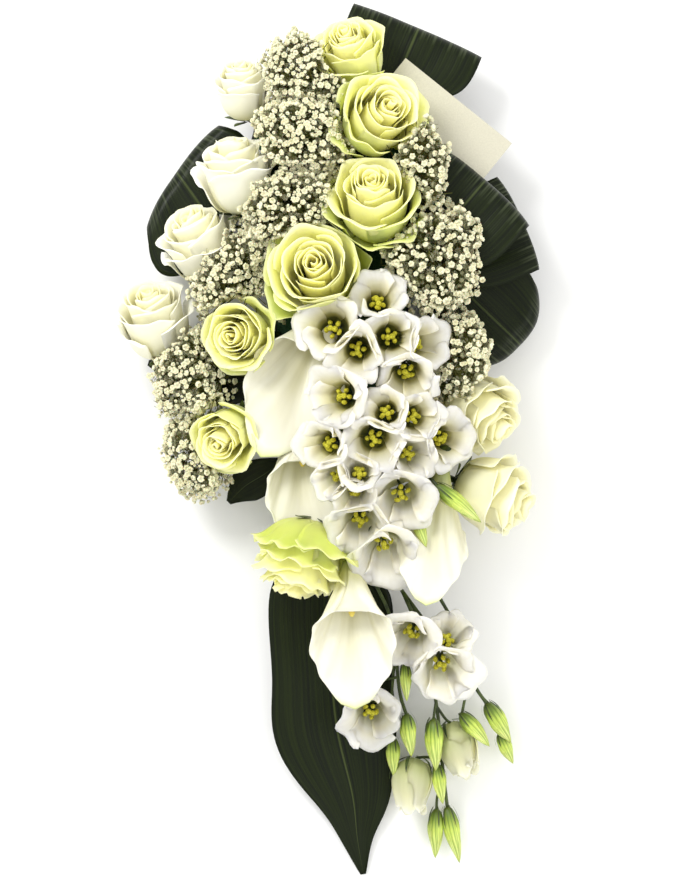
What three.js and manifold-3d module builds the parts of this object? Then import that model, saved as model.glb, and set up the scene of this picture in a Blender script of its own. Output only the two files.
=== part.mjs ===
// A teardrop funeral arrangement, lying on its tray, in millimetres.
// +Z is up from the surface, +Y runs from the pointed end to the round head, the origin is under the tray.
import * as THREE from 'three';
import { mergeVertices } from 'three/addons/utils/BufferGeometryUtils.js';
import { ConvexGeometry } from 'three/addons/geometries/ConvexGeometry.js';
import Module from 'manifold-3d';

const wasm = await Module();
wasm.setup();

// Driving dimensions of the tray and its foam
const HEAD_RADIUS = 75;
const HEAD_Y = 141;
const TAIL_RADIUS = 28;
const TAIL_Y = -150;
const TRAY_HEIGHT = 32;
const TRAY_WALL = 2;
const FOAM_TOP = 58;
const FOAM_SHOULDER = 46;

// Room left between pieces that touch, and the least thickness of a petal or leaf
const GAP = 0.35;
const PETAL_THICKNESS = 0.9;
const PETAL_WALL = 1.3;
const LEAF_THICKNESS = 0.8;

// Stem radii
const ROSE_STEM = 2.8;
const CALLA_STEM = 6;
const LISIANTHUS_STEM = 1.8;
const PETIOLE = 1.6;
const GYPSOPHILA_STEM = 1.2;

// Where stems end inside the foam
const FOOT_Z = 20;
const SIDE_FOOT_Z = 38;
const FOOT_MARGIN = 12;

const DEGREE = Math.PI / 180;
const vec = (x, y, z) => new THREE.Vector3(x, y, z);

// The six white roses: centre of the head, radius, way and angle of leaning, and turn about its own axis
const WHITE_ROSES = [
  { name: 'white_rose_crown', at: [-78, 194, 74], radius: 23, toward: 98, tilt: 62, turn: 10 },
  { name: 'white_rose_left_upper', at: [-82, 125, 82], radius: 30, toward: 100, tilt: 72, turn: 60 },
  { name: 'white_rose_left', at: [-112, 69, 67], radius: 29, toward: 116, tilt: 62, turn: 25 },
  { name: 'white_rose_left_lower', at: [-150, 9, 56], radius: 29, toward: 105, tilt: 57, turn: 95 },
  {
    name: 'white_rose_right',
    at: [113, -66, 70], radius: 29, toward: -38, tilt: 60, turn: 40, foot: [34, -46],
  },
  {
    name: 'white_rose_right_lower',
    at: [124, -132, 62], radius: 30, toward: -20, tilt: 72, turn: 75, foot: [28, -96],
  },
];

// The seven lime-yellow roses, from the head to the pointed end
const LIME_ROSES = [
  { name: 'lime_rose_crown', at: [10, 222, 82], radius: 27, toward: 112, tilt: 44, turn: 0 },
  { name: 'lime_rose_upper', at: [31, 169, 100], radius: 31, toward: 45, tilt: 28, turn: 45 },
  { name: 'lime_rose_heart', at: [27, 102, 104], radius: 33, toward: 96, tilt: 34, turn: 80 },
  { name: 'lime_rose_middle', at: [-18, 44, 105], radius: 35, toward: 110, tilt: 16, turn: 20 },
  { name: 'lime_rose_left', at: [-79, -4, 90], radius: 27, toward: 190, tilt: 20, turn: 65 },
  {
    name: 'lime_rose_left_lower',
    at: [-90, -84, 76], radius: 25, toward: 225, tilt: 32, turn: 30, foot: [-32, -62],
  },
  {
    name: 'lime_rose_bottom',
    at: [-30, -184, 74], radius: 31, toward: -105, tilt: 84, turn: 55, foot: [-20, -130],
  },
];

// Rings of three petals in a rose, from the outside to the heart, as shares of the head's radius and height
const ROSE_RINGS = [
  { valley: 0.16, low: 0.7, belly: 0.86, lip: 1.12, height: 0.64, droop: 0.16 },
  { valley: 0.34, low: 0.64, lip: 0.82, height: 0.86, droop: 0.12 },
  { valley: 0.5, low: 0.44, lip: 0.5, height: 0.96, droop: 0.08 },
  { valley: 0.66, low: 0.24, lip: 0.22, height: 1.0, droop: 0.06 },
];
const ROSE_SEGMENTS = 9;
const ROSE_HEIGHT_RATIO = 2.1;

// The four callas: start of the funnel, its length and mouth radius, way and angle of leaning, and turn
const CALLAS = [
  {
    name: 'calla_left',
    at: [-3, 28, 74], length: 142, radius: 38, toward: -115, tilt: 74, turn: 0, foot: [4, 44],
  },
  {
    name: 'calla_middle',
    at: [-33, -66, 67], length: 118, radius: 30, toward: -86, tilt: 74, turn: 0, foot: [-20, -46],
  },
  {
    name: 'calla_bottom',
    at: [8, -186, 80], length: 118, radius: 33, toward: -88, tilt: 74, turn: 0, foot: [-4, -142],
  },
  {
    name: 'calla_right',
    at: [82, -112, 84], length: 110, radius: 27, toward: -97, tilt: 92, turn: 180, foot: [24, -122],
  },
];

// Inside radius of a funnel's throat, the bent neck of its stem, and how far the stem runs into the throat
const CALLA_THROAT = 5.2;
const CALLA_NECK = 16;
const CALLA_SUNK = 6;

// Lisianthus sprays: each head has a centre of the mouth, a radius, and the way and angle of leaning
const LISIANTHUS_SPRAYS = [
  {
    name: 'lisianthus_spray_upper_left',
    foot: [4, -4, 20],
    heads: [
      { at: [-8, 2, 126], radius: 28, toward: 150, tilt: 10 },
      { at: [31, 26, 122], radius: 22, toward: 80, tilt: 20 },
      { at: [13, -19, 128], radius: 24, toward: 250, tilt: 12 },
    ],
  },
  {
    name: 'lisianthus_spray_upper_right',
    foot: [34, 0, 20],
    heads: [
      { at: [41, -6, 128], radius: 25, toward: 0, tilt: 5 },
      { at: [70, -12, 116], radius: 24, toward: 0, tilt: 45 },
      { at: [54, -41, 121], radius: 25, toward: 280, tilt: 28 },
    ],
  },
  {
    name: 'lisianthus_spray_middle_left',
    foot: [2, -52, 20],
    heads: [
      { at: [-4, -53, 124], radius: 25, toward: 180, tilt: 25 },
      { at: [-14, -93, 116], radius: 23, toward: 200, tilt: 25 },
      { at: [27, -90, 125], radius: 26, toward: 270, tilt: 12 },
    ],
  },
  {
    name: 'lisianthus_spray_middle_right',
    foot: [26, -64, 20],
    heads: [
      { at: [36, -64, 127], radius: 21, toward: 120, tilt: 10 },
      { at: [62, -69, 121], radius: 22, toward: 0, tilt: 18 },
      { at: [87, -89, 106], radius: 23, toward: -20, tilt: 30 },
    ],
  },
  {
    name: 'lisianthus_spray_right',
    foot: [16, -96, 20],
    heads: [
      { at: [58, -101, 116], radius: 21, toward: -30, tilt: 20 },
      { at: [49, -137, 112], radius: 29, toward: 270, tilt: 20 },
    ],
  },
  {
    name: 'lisianthus_spray_left',
    foot: [-8, -110, 20],
    heads: [
      { at: [15, -111, 121], radius: 19, toward: 100, tilt: 15 },
      { at: [-6, -119, 114], radius: 20, toward: 210, tilt: 25 },
      { at: [10, -132, 114], radius: 20, toward: 250, tilt: 20 },
    ],
  },
  {
    name: 'lisianthus_spray_lower',
    foot: [2, -126, 20],
    heads: [
      { at: [16, -158, 107], radius: 26, toward: 270, tilt: 25 },
      { at: [36, -181, 101], radius: 29, toward: 275, tilt: 35 },
    ],
  },
  {
    name: 'lisianthus_spray_trailing',
    foot: [12, -148, 46],
    heads: [
      { at: [54, -250, 78], radius: 26, toward: 240, tilt: 30 },
      { at: [84, -276, 70], radius: 28, toward: 285, tilt: 25 },
      { at: [90, -244, 68], radius: 22, toward: 60, tilt: 30 },
    ],
  },
];

// A bell's depth as a share of its mouth radius, and its petals
const LISIANTHUS_DEPTH_RATIO = 1.2;
const LISIANTHUS_LOBES = 5;

// Single lisianthus blooms at the tips of the green sprays
const TIP_BLOOMS = [
  { name: 'lisianthus_low_left', at: [25, -314, 56], radius: 25, depth: 30, toward: 275, tilt: 20 },
  {
    name: 'lisianthus_half_open_left',
    at: [58, -392, 34], radius: 16, depth: 46, toward: 268, tilt: 68, halfOpen: true,
  },
  {
    name: 'lisianthus_half_open_right',
    at: [104, -360, 36], radius: 16, depth: 46, toward: 290, tilt: 66, halfOpen: true,
  },
];

// Green sprays: the main stem's path, and side stems with the share of the main stem where each one starts
const BUD_SPRAYS = [
  {
    name: 'bud_spray_right',
    stem: [[30, -84, 24], [50, -98, 70], [66, -112, 98], [78, -125, 108]],
    bud: { tip: [113, -154, 102], radius: 7 },
    sides: [{ share: 0.45, path: [[66, -126, 82], [60, -146, 91]], bud: { tip: [69, -174, 99], radius: 6 } }],
  },
  {
    name: 'bud_spray_low_left',
    stem: [[5, -156, 37], [24, -196, 46], [42, -236, 46], [48, -290, 42], [54, -312, 46]],
    bud: { tip: [58, -346, 44], radius: 7 },
    sides: [
      { share: 0.6, path: [[42, -300, 36], [43, -332, 32]], bud: { tip: [44, -364, 28], radius: 6 } },
      { share: 0.7, path: [[32, -286, 36], [27, -303, 30]] },
      { share: 0.55, path: [[52, -262, 54], [53, -270, 56]], bud: { tip: [54, -300, 57], radius: 5 } },
    ],
  },
  {
    name: 'bud_spray_low_middle',
    stem: [[19, -150, 37], [38, -188, 42], [64, -240, 36], [78, -300, 28], [84, -356, 20], [88, -390, 16]],
    bud: { tip: [98, -436, 13], radius: 7 },
    sides: [
      { share: 0.5, path: [[78, -294, 38], [76, -316, 42]], bud: { tip: [78, -358, 40], radius: 8 } },
      { share: 0.78, path: [[72, -348, 22], [62, -349, 18]] },
      { share: 0.74, path: [[78, -344, 30], [79, -354, 31]], bud: { tip: [84, -386, 30], radius: 6 } },
      { share: 0.85, path: [[80, -380, 15], [79, -392, 14]], bud: { tip: [78, -432, 12], radius: 7 } },
      { share: 0.62, path: [[88, -318, 26], [99, -322, 24]] },
    ],
  },
  {
    name: 'bud_spray_low_right',
    stem: [[27, -137, 38], [50, -168, 44], [92, -236, 42], [108, -284, 36], [120, -304, 32]],
    bud: { tip: [140, -336, 26], radius: 8 },
    sides: [
      { share: 0.78, path: [[104, -290, 38], [99, -312, 38]], bud: { tip: [122, -338, 38], radius: 7 } },
      { share: 0.9, path: [[128, -312, 26], [131, -330, 20]], bud: { tip: [142, -354, 16], radius: 6 } },
    ],
  },
];

// Looped aspidistra leaves: ends of the fold, its height and roll radius, reach of both layers, their shape
const LOOPED_LEAVES = [
  {
    name: 'leaf_crown_loop',
    fold: [[12, 269], [116, 225]], height: 42, roll: 9, over: 54, under: 46, rise: 8, bulge: 0, round: 2,
  },
  {
    name: 'leaf_left_loop',
    fold: [[-162, 89], [-104, 171]], height: 42, roll: 9, over: 66, under: 56, rise: 6, bulge: 0.3,
    skew: 0.35, round: 6,
  },
  {
    name: 'leaf_right_roll',
    fold: [[79, 153], [155, 88]], height: 82, roll: 11, over: 74, under: 62, rise: -4, bulge: 0, round: 5,
  },
  {
    name: 'leaf_right_behind',
    fold: [[131, 127], [165, 52]], height: 52, roll: 5, over: 74, under: 66, rise: 2, bulge: 0, round: 4,
  },
  {
    name: 'leaf_right_loop',
    fold: [[176, 20], [118, -41]], height: 27, roll: 12, over: 88, under: 78, rise: 9, bulge: 0.2,
    round: 20,
  },
];

// Flat aspidistra leaves: middle line and half widths from the stalk to the tip
const FLAT_LEAVES = [
  {
    name: 'leaf_long_hanging',
    line: [
      [-6, -184, 44], [-9, -212, 40], [-7, -280, 30], [-2, -328, 22],
      [10, -380, 12], [14, -416, 6], [19, -446, 3],
    ],
    halfWidths: [20, 48, 50, 50, 32, 14, 2],
    stalkTo: [-6, -152, 36],
  },
  {
    name: 'leaf_left_flat',
    line: [[-64, -36, 46], [-90, -42, 44], [-124, -34, 36], [-157, -25, 28]],
    halfWidths: [4, 18, 17, 2],
    stalkTo: [-36, -30, 36],
  },
  {
    name: 'leaf_lower_tip',
    line: [[-48, -106, 46], [-62, -116, 44], [-78, -126, 40], [-91, -139, 36]],
    halfWidths: [4, 15, 14, 2],
    stalkTo: [-18, -116, 38],
  },
];

// Gypsophila sprays: centre and half sizes of each cloud, and its foot where it has to miss other stems
const GYPSOPHILA = [
  { name: 'gypsophila_crown', at: [-24, 204, 88], size: [45, 40, 32] },
  { name: 'gypsophila_upper', at: [-28, 156, 96], size: [48, 48, 32] },
  { name: 'gypsophila_heart', at: [-34, 96, 96], size: [52, 48, 32] },
  { name: 'gypsophila_left', at: [-76, 40, 83], size: [50, 52, 30] },
  { name: 'gypsophila_left_low', at: [-116, -36, 66], size: [40, 50, 26] },
  { name: 'gypsophila_lower', at: [-112, -96, 56], size: [36, 42, 24] },
  { name: 'gypsophila_right_upper', at: [55, 129, 106], size: [38, 48, 26], foot: [44, 116] },
  { name: 'gypsophila_right', at: [72, 58, 98], size: [48, 56, 30], foot: [44, 72] },
  { name: 'gypsophila_right_low', at: [96, -24, 84], size: [28, 46, 24] },
];

// Splits of a cloud's surface, fewer on one narrower than the limit, and how deep its hollows lie as a share
const CLOUD_DETAIL = 3;
const SMALL_CLOUD_DETAIL = 2;
const SMALL_CLOUD = 43;
const CLOUD_HOLLOW = 0.74;
const LEAST_FREE_SHARE = 0.35;

// The gift card: its outer long edge, its width inwards, and its height at both edges
const CARD = { edge: [[53, 221], [139, 152]], width: 50, outerZ: 60, innerZ: 66, thickness: 0.7 };

// The clamp that holds the card's inner edge, and the radius of its stick
const CARD_CLAMP = [14, 8, 5];
const CARD_STICK = 1.6;

// How far a bell and a bud swallow the end of their stem, and the size of the plate that trims a pressed head
const STEM_SUNK = 1.5;
const BUD_OVERLAP = 2.5;
const SLAB_SIZE = 120;

// Colours, roughness and metalness of each material
function material(color, roughness) {
  return new THREE.MeshStandardMaterial({ color, roughness, metalness: 0 });
}
const whitePetal = () => material('#f4f0de', 0.6);
const limePetal = () => material('#dfe67e', 0.6);
const callaSpathe = () => material('#f6f4ea', 0.45);
const callaSpadix = () => material('#e8b832', 0.8);
const lisianthusPetal = () => material('#f7f3e6', 0.6);
const greenBud = () => material('#a9c04e', 0.55);
const darkLeaf = () => material('#1d2a18', 0.35);
const gypsophilaWhite = () => material('#f2f2ee', 0.8);
const blackTray = () => material('#1b1f1c', 0.5);
const wetFoam = () => material('#2f5a35', 0.95);
const whiteCard = () => material('#f5f3ee', 0.7);
const clearPick = () => material('#dfe6e8', 0.25);

// Repeatable random numbers from 0 to 1
function seededRandom(seed) {
  let state = seed;
  return () => {
    state = (state + 0x6d2b79f5) | 0;
    let t = Math.imul(state ^ (state >>> 15), 1 | state);
    t = (t + Math.imul(t ^ (t >>> 7), 61 | t)) ^ t;
    return ((t ^ (t >>> 14)) >>> 0) / 4294967296;
  };
}

// A closed three.js geometry as a solid
function solidOf(geometry) {
  const bare = geometry.clone();
  bare.deleteAttribute('normal');
  bare.deleteAttribute('uv');
  const merged = mergeVertices(bare, 1e-4);
  const vertProperties = merged.attributes.position.array;
  const triVerts = Uint32Array.from(merged.index.array);
  return new wasm.Manifold(new wasm.Mesh({ numProp: 3, vertProperties, triVerts }));
}

// A solid as a geometry, measured from the given point
function geometryOf(solid, from) {
  const { vertProperties, triVerts } = solid.getMesh();
  const geometry = new THREE.BufferGeometry();
  geometry.setAttribute('position', new THREE.BufferAttribute(Float32Array.from(vertProperties), 3));
  geometry.setIndex(new THREE.BufferAttribute(Uint32Array.from(triVerts), 1));
  geometry.translate(-from.x, -from.y, -from.z);
  const flat = geometry.toNonIndexed();
  flat.computeVertexNormals();
  return flat;
}

function join(solids) {
  return solids.reduce((sum, solid) => sum.add(solid));
}

// The largest connected body of a solid: scraps that a cut leaves behind are dropped
function largestBody(solid) {
  const bodies = solid.decompose();
  return bodies.reduce((best, body) => (body.volume() > best.volume() ? body : best));
}

function boxesMeet(a, b) {
  const boxA = a.boundingBox();
  const boxB = b.boundingBox();
  return [0, 1, 2].every((i) => boxA.min[i] < boxB.max[i] && boxB.min[i] < boxA.max[i]);
}

function cutAway(solid, tools) {
  return tools.filter((tool) => boxesMeet(solid, tool)).reduce((rest, tool) => rest.subtract(tool), solid);
}

// A point on a cubic Bezier of plain numbers
function bezier(t, a, b, c, d) {
  const s = 1 - t;
  return s * s * s * a + 3 * s * s * t * b + 3 * s * t * t * c + t * t * t * d;
}

// The face normal of a surface at (u, v)
function normalAt(pointAt, u, v) {
  const step = 0.01;
  const [u0, u1] = [Math.max(0, u - step), Math.min(1, u + step)];
  const [v0, v1] = [Math.max(0, v - step), Math.min(1, v + step)];
  const along = pointAt(u1, v).sub(pointAt(u0, v));
  const across = pointAt(u, v1).sub(pointAt(u, v0));
  return along.cross(across).normalize();
}

// A thin closed sheet round the surface pointAt(u, v), split into triangles alike on both faces
function sheet(columns, rows, thickness, pointAt) {
  const faces = [thickness / 2, -thickness / 2].map((offset) => {
    const points = [];
    for (let row = 0; row <= rows; row += 1) {
      for (let column = 0; column <= columns; column += 1) {
        const [u, v] = [column / columns, row / rows];
        points.push(pointAt(u, v).addScaledVector(normalAt(pointAt, u, v), offset));
      }
    }
    return points;
  });
  const count = faces[0].length;
  const index = [];
  const quad = (a, b, c, d) => index.push(a, b, c, a, c, d);
  const at = (row, column) => row * (columns + 1) + column;
  for (let row = 0; row < rows; row += 1) {
    for (let column = 0; column < columns; column += 1) {
      const [a, b] = [at(row, column), at(row, column + 1)];
      const [c, d] = [at(row + 1, column + 1), at(row + 1, column)];
      index.push(a, b, c, a, c, d);
      index.push(count + a, count + c, count + b, count + a, count + d, count + c);
    }
  }
  for (let row = 0; row < rows; row += 1) {
    const [left, leftNext] = [at(row, 0), at(row + 1, 0)];
    const [right, rightNext] = [at(row, columns), at(row + 1, columns)];
    quad(left, leftNext, count + leftNext, count + left);
    quad(right, count + right, count + rightNext, rightNext);
  }
  for (let column = 0; column < columns; column += 1) {
    const [near, nearNext] = [at(0, column), at(0, column + 1)];
    const [far, farNext] = [at(rows, column), at(rows, column + 1)];
    quad(near, count + near, count + nearNext, nearNext);
    quad(far, farNext, count + farNext, count + far);
  }
  return indexedGeometry(faces.flat(), index);
}

// A closed body of stacked rings between two poles, which may fold in and out like a pleated skirt
function pleated(bottom, rings, top) {
  const count = rings[0].length;
  const points = [bottom, top, ...rings.flat()];
  const start = (ring) => 2 + ring * count;
  const index = [];
  for (let i = 0; i < count; i += 1) {
    const next = (i + 1) % count;
    index.push(0, start(0) + next, start(0) + i);
    for (let ring = 0; ring + 1 < rings.length; ring += 1) {
      const [a, b] = [start(ring) + i, start(ring) + next];
      const [c, d] = [start(ring + 1) + next, start(ring + 1) + i];
      index.push(a, b, c, a, c, d);
    }
    index.push(1, start(rings.length - 1) + i, start(rings.length - 1) + next);
  }
  return indexedGeometry(points, index);
}

function indexedGeometry(points, index) {
  const geometry = new THREE.BufferGeometry().setFromPoints(points);
  geometry.setIndex(index);
  return geometry;
}

// A round bar along a curve through the points
function bar(points, radius, sides, steps) {
  const outline = new THREE.Shape();
  for (let side = 0; side < sides; side += 1) {
    const angle = (side / sides) * 2 * Math.PI;
    const [x, y] = [radius * Math.cos(angle), radius * Math.sin(angle)];
    if (side === 0) outline.moveTo(x, y);
    else outline.lineTo(x, y);
  }
  outline.closePath();
  const path = points.length > 2 ? new THREE.CatmullRomCurve3(points) : new THREE.LineCurve3(...points);
  return new THREE.ExtrudeGeometry(outline, { steps, extrudePath: path });
}

// A stem as a solid, and the wider one that clears its hole
function stem(points, radius, sides = 4) {
  const steps = points.length > 2 ? points.length : 1;
  const past = (end, other) => end.clone().sub(other).setLength(GAP).add(end);
  const before = past(points[0], points[1]);
  const beyond = past(points[points.length - 1], points[points.length - 2]);
  const wider = radius + GAP / Math.cos(Math.PI / sides);
  return {
    solid: solidOf(bar(points, radius, sides, steps)),
    hole: solidOf(bar([before, ...points.slice(1, -1), beyond], wider, sides, steps)),
  };
}

// The turn and lean of a bloom that stands on its base
function standing(base, bloom) {
  const matrix = new THREE.Matrix4().makeRotationZ(bloom.toward * DEGREE);
  matrix.multiply(new THREE.Matrix4().makeRotationY(bloom.tilt * DEGREE));
  matrix.multiply(new THREE.Matrix4().makeRotationZ((bloom.turn ?? 0) * DEGREE));
  return matrix.setPosition(base);
}

function facing(bloom) {
  const [toward, tilt] = [bloom.toward * DEGREE, bloom.tilt * DEGREE];
  return vec(Math.sin(tilt) * Math.cos(toward), Math.sin(tilt) * Math.sin(toward), Math.cos(tilt));
}

// The stem's end in the foam under a point: on the way to the middle line and inside the margin
function footUnder(point, chosen) {
  const y = THREE.MathUtils.clamp(point.y, TAIL_Y, HEAD_Y);
  const share = (y - TAIL_Y) / (HEAD_Y - TAIL_Y);
  const reach = TAIL_RADIUS + (HEAD_RADIUS - TAIL_RADIUS) * share - FOOT_MARGIN;
  const out = vec(point.x, point.y - y, 0);
  const distance = Math.min(out.length() * 0.8, reach);
  const z = out.length() > reach + FOOT_MARGIN - 4 ? SIDE_FOOT_Z : FOOT_Z;
  if (chosen) return vec(...chosen, z);
  return out.setLength(Math.max(distance, 0.01)).add(vec(0, y, z));
}

function pointsOf(solid) {
  const { vertProperties } = solid.getMesh();
  const points = [];
  for (let i = 0; i < vertProperties.length; i += 3) {
    points.push(vec(vertProperties[i], vertProperties[i + 1], vertProperties[i + 2]));
  }
  return points;
}

function middleOf(points) {
  return points.reduce((sum, p) => sum.add(p), vec(0, 0, 0)).divideScalar(points.length);
}

// The convex shape that keeps neighbours out of a head, a gap wider than the head
function clearanceOf(solid) {
  const points = pointsOf(solid);
  const middle = middleOf(points);
  const reachOf = (point) => point.distanceTo(middle) + 2 * GAP;
  const grown = points.map((p) => p.clone().sub(middle).setLength(reachOf(p)).add(middle));
  return solidOf(new ConvexGeometry(grown));
}

// Where two heads press on each other, both end at one plane between them
function partHeads(a, b) {
  if (!boxesMeet(a.clearance, b.clearance)) return;
  if (a.clearance.intersect(b.clearance).volume() === 0) return;
  const way = b.middle.clone().sub(a.middle).normalize();
  const reachA = Math.max(...a.points.map((p) => p.dot(way)));
  const reachB = Math.min(...b.points.map((p) => p.dot(way)));
  const plane = (reachA + reachB) / 2;
  a.solid = a.solid.subtract(slab(a.middle, way, plane - GAP / 2));
  b.solid = b.solid.subtract(slab(b.middle, way.clone().negate(), -plane - GAP / 2));
}

function partAll(bodies) {
  for (const [i, body] of bodies.entries()) {
    for (const other of bodies.slice(i + 1)) partHeads(body, other);
  }
}

// What a later cut needs to know of a body: its points, their middle and the clearance round them
function measured(solid, more) {
  const points = pointsOf(solid);
  return { ...more, solid, points, middle: middleOf(points), clearance: clearanceOf(solid) };
}

// A thick plate beyond the plane whose distance from the origin along the given way is known
function slab(middle, way, distance) {
  const plate = new THREE.BoxGeometry(SLAB_SIZE, SLAB_SIZE, SLAB_SIZE).translate(0, 0, SLAB_SIZE / 2);
  const start = middle.clone().addScaledVector(way, distance - middle.dot(way));
  const turn = new THREE.Quaternion().setFromUnitVectors(vec(0, 0, 1), way);
  return solidOf(plate.applyQuaternion(turn).translate(start.x, start.y, start.z));
}

// Ring of points on a rose: each petal stands out at one edge, tucks in at the other and droops at both
function roseRing(rose, number, radius, height, open, wall = 0) {
  const ring = ROSE_RINGS[number];
  return Array.from({ length: ROSE_SEGMENTS }, (_, segment) => {
    const side = ((segment + number) % 3) - 1;
    const angle = (segment * 360) / ROSE_SEGMENTS + side * 14 * open;
    const reach = rose.radius * radius * (1 + 0.075 * side * open) - wall;
    const z = rose.radius * ROSE_HEIGHT_RATIO * height * (1 - ring.droop * Math.abs(side) * open);
    return vec(reach * Math.cos(angle * DEGREE), reach * Math.sin(angle * DEGREE), z);
  });
}

// Rose head: rings of petals that rise, roll their lips and fall back into the next ring's valley
function roseHead(rose) {
  const base = vec(...rose.at).addScaledVector(facing(rose), -0.5 * rose.radius * ROSE_HEIGHT_RATIO);
  const rings = [roseRing(rose, 0, 0.3, 0.02, 0)];
  ROSE_RINGS.forEach(({ valley, low, belly, lip, height }, number) => {
    const middle = (valley + height) / 2;
    rings.push(roseRing(rose, number, low, valley, 0));
    if (belly) rings.push(roseRing(rose, number, belly, middle, 0.6));
    rings.push(roseRing(rose, number, lip, height, 1));
    rings.push(roseRing(rose, number, lip, height - 0.01, 1, PETAL_WALL));
    if (belly) rings.push(roseRing(rose, number, belly, middle + 0.02, 0.6, PETAL_WALL));
  });
  const height = rose.radius * ROSE_HEIGHT_RATIO;
  const head = pleated(vec(0, 0, 0), rings, vec(0, 0, height * 0.8));
  return { base, solid: solidOf(head.applyMatrix4(standing(base, rose))) };
}

// Ring of points on a lisianthus bell, whose five petals meet in notches at the mouth
function bellRing(bloom, depth, radius, height, open, waves, wall = 0) {
  return waves.map((wave, segment) => {
    const angle = (segment * 2 * Math.PI) / waves.length;
    const lobe = segment % 2 ? -1 : 1;
    const reach = bloom.radius * (radius + open * (0.06 * lobe + wave)) - wall;
    return vec(reach * Math.cos(angle), reach * Math.sin(angle), depth * (height + 0.08 * lobe * open));
  });
}

// Lisianthus head: a bell that flares at the mouth, or stays closed on a half-open bloom, round its stigma
function lisianthusHead(bloom, random) {
  const depth = bloom.depth ?? bloom.radius * LISIANTHUS_DEPTH_RATIO;
  const base = vec(...bloom.at).addScaledVector(facing(bloom), -depth);
  const waves = Array.from({ length: LISIANTHUS_LOBES * 2 }, () => (random() - 0.5) * 0.1);
  const [low, mouth] = bloom.halfOpen ? [0.72, 0.74] : [0.48, 1];
  const ring = (...values) => bellRing(bloom, depth, ...values.slice(0, 3), waves, values[3]);
  const rings = [
    ring(low, 0.16, 0),
    ...(bloom.halfOpen ? [ring(1, 0.55, 0.3)] : []),
    ring(mouth, 0.96, 1),
    ring(mouth, 0.94, 1, PETAL_WALL),
    ring(0.14, 0.2, 0),
  ];
  const head = pleated(vec(0, 0, 0), rings, vec(0, 0, depth * 0.66));
  return { base, solid: solidOf(head.applyMatrix4(standing(base, { ...bloom, turn: random() * 72 }))) };
}

// Calla spathe: a sheet rolled into a funnel that opens into a wide, shallow spoon, its edges lapped behind
function callaSheet(calla, thickness) {
  return sheet(8, 4, thickness, (u, v) => {
    const angle = (u - 0.5) * 2 * Math.PI * 1.05;
    const front = (1 + Math.cos(angle)) / 2;
    const point = Math.max(0, 1 - Math.abs(angle) / 0.6);
    const length = calla.length * (0.38 + 0.46 * front + 0.16 * point);
    const widen = (mouth) => bezier(v, CALLA_THROAT, CALLA_THROAT * 2.2, mouth * 0.8, mouth) + u * 1.6;
    const squareness = 1 - 0.5 * THREE.MathUtils.clamp((v - 0.35) / 0.5, 0, 1);
    const sine = Math.sin(angle);
    const x = Math.cos(angle) * widen(calla.radius * (0.42 + 0.1 * front));
    const y = Math.sign(sine) * Math.abs(sine) ** squareness * widen(calla.radius);
    return vec(x, y, length * bezier(v, 0, 0.4, 0.85, 1));
  });
}

function callaHead(calla, thickness = PETAL_THICKNESS) {
  const base = vec(...calla.at);
  return { base, solid: solidOf(callaSheet(calla, thickness).applyMatrix4(standing(base, calla))) };
}

// Spadix: a blunt rod that stands on the stem inside the funnel
function spadixOf(calla) {
  const start = CALLA_SUNK + GAP;
  const end = calla.length * 0.44;
  const profile = [[0, start], [2.6, start], [3.2, end * 0.7], [2.4, end - 2], [0, end]];
  const outline = profile.map(([r, z]) => new THREE.Vector2(r, z));
  const rod = new THREE.LatheGeometry(outline, 6).rotateX(Math.PI / 2);
  return solidOf(rod.applyMatrix4(standing(vec(...calla.at), calla)));
}

// Aspidistra blade that runs out from under the flowers, rolls over at the fold and runs back
function loopedBlade(leaf) {
  const [start, end] = leaf.fold.map(([x, y]) => vec(x, y, 0));
  const across = end.clone().sub(start);
  const half = across.length() / 2;
  across.normalize();
  const inward = vec(across.y, -across.x, 0);
  const middle = start.clone().add(end).multiplyScalar(0.5);
  const roll = leaf.roll;
  const lengths = [leaf.under - roll, Math.PI * roll, leaf.over - roll];
  const total = lengths[0] + lengths[1] + lengths[2];
  const spine = (v) => {
    const run = v * total;
    if (run < lengths[0]) return [leaf.under - run, -roll, leaf.under];
    if (run > lengths[0] + lengths[1]) return [run - lengths[0] - lengths[1] + roll, roll, leaf.over];
    const angle = (run - lengths[0]) / roll;
    return [roll - roll * Math.sin(angle), -roll * Math.cos(angle), leaf.over];
  };
  const pointAt = (u, v) => {
    const [back, lift, reach] = spine(v);
    const share = Math.min(back / reach, 1);
    const width = half * Math.sqrt(1 - 0.97 * share ** 4) * (1 + leaf.bulge * Math.sin(Math.PI * share));
    const z = leaf.height + lift + leaf.rise * share;
    const side = (2 * u - 1) * width;
    const slide = side - (leaf.skew ?? 0) * back;
    const depth = back + leaf.round * Math.abs(2 * u - 1) ** 3 * (1 - share);
    return middle.clone().addScaledVector(inward, depth).addScaledVector(across, slide).setZ(z);
  };
  return { pointAt, root: pointAt(0.5, 0) };
}

// Flat aspidistra blade along its middle line, folded a little at the midrib
function flatBlade(leaf) {
  const line = new THREE.CatmullRomCurve3(leaf.line.map((p) => vec(...p)));
  const last = leaf.halfWidths.length - 1;
  const pointAt = (u, v) => {
    const middle = line.getPoint(v);
    const along = line.getTangent(v);
    const across = vec(along.y, -along.x, 0).normalize();
    const place = Math.min(Math.floor(v * last), last - 1);
    const share = v * last - place;
    const width = THREE.MathUtils.lerp(leaf.halfWidths[place], leaf.halfWidths[place + 1], share);
    const side = 2 * u - 1;
    return middle.addScaledVector(across, side * width).add(vec(0, 0, Math.abs(side) * width * 0.06));
  };
  return { pointAt, root: pointAt(0.5, 0) };
}

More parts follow.
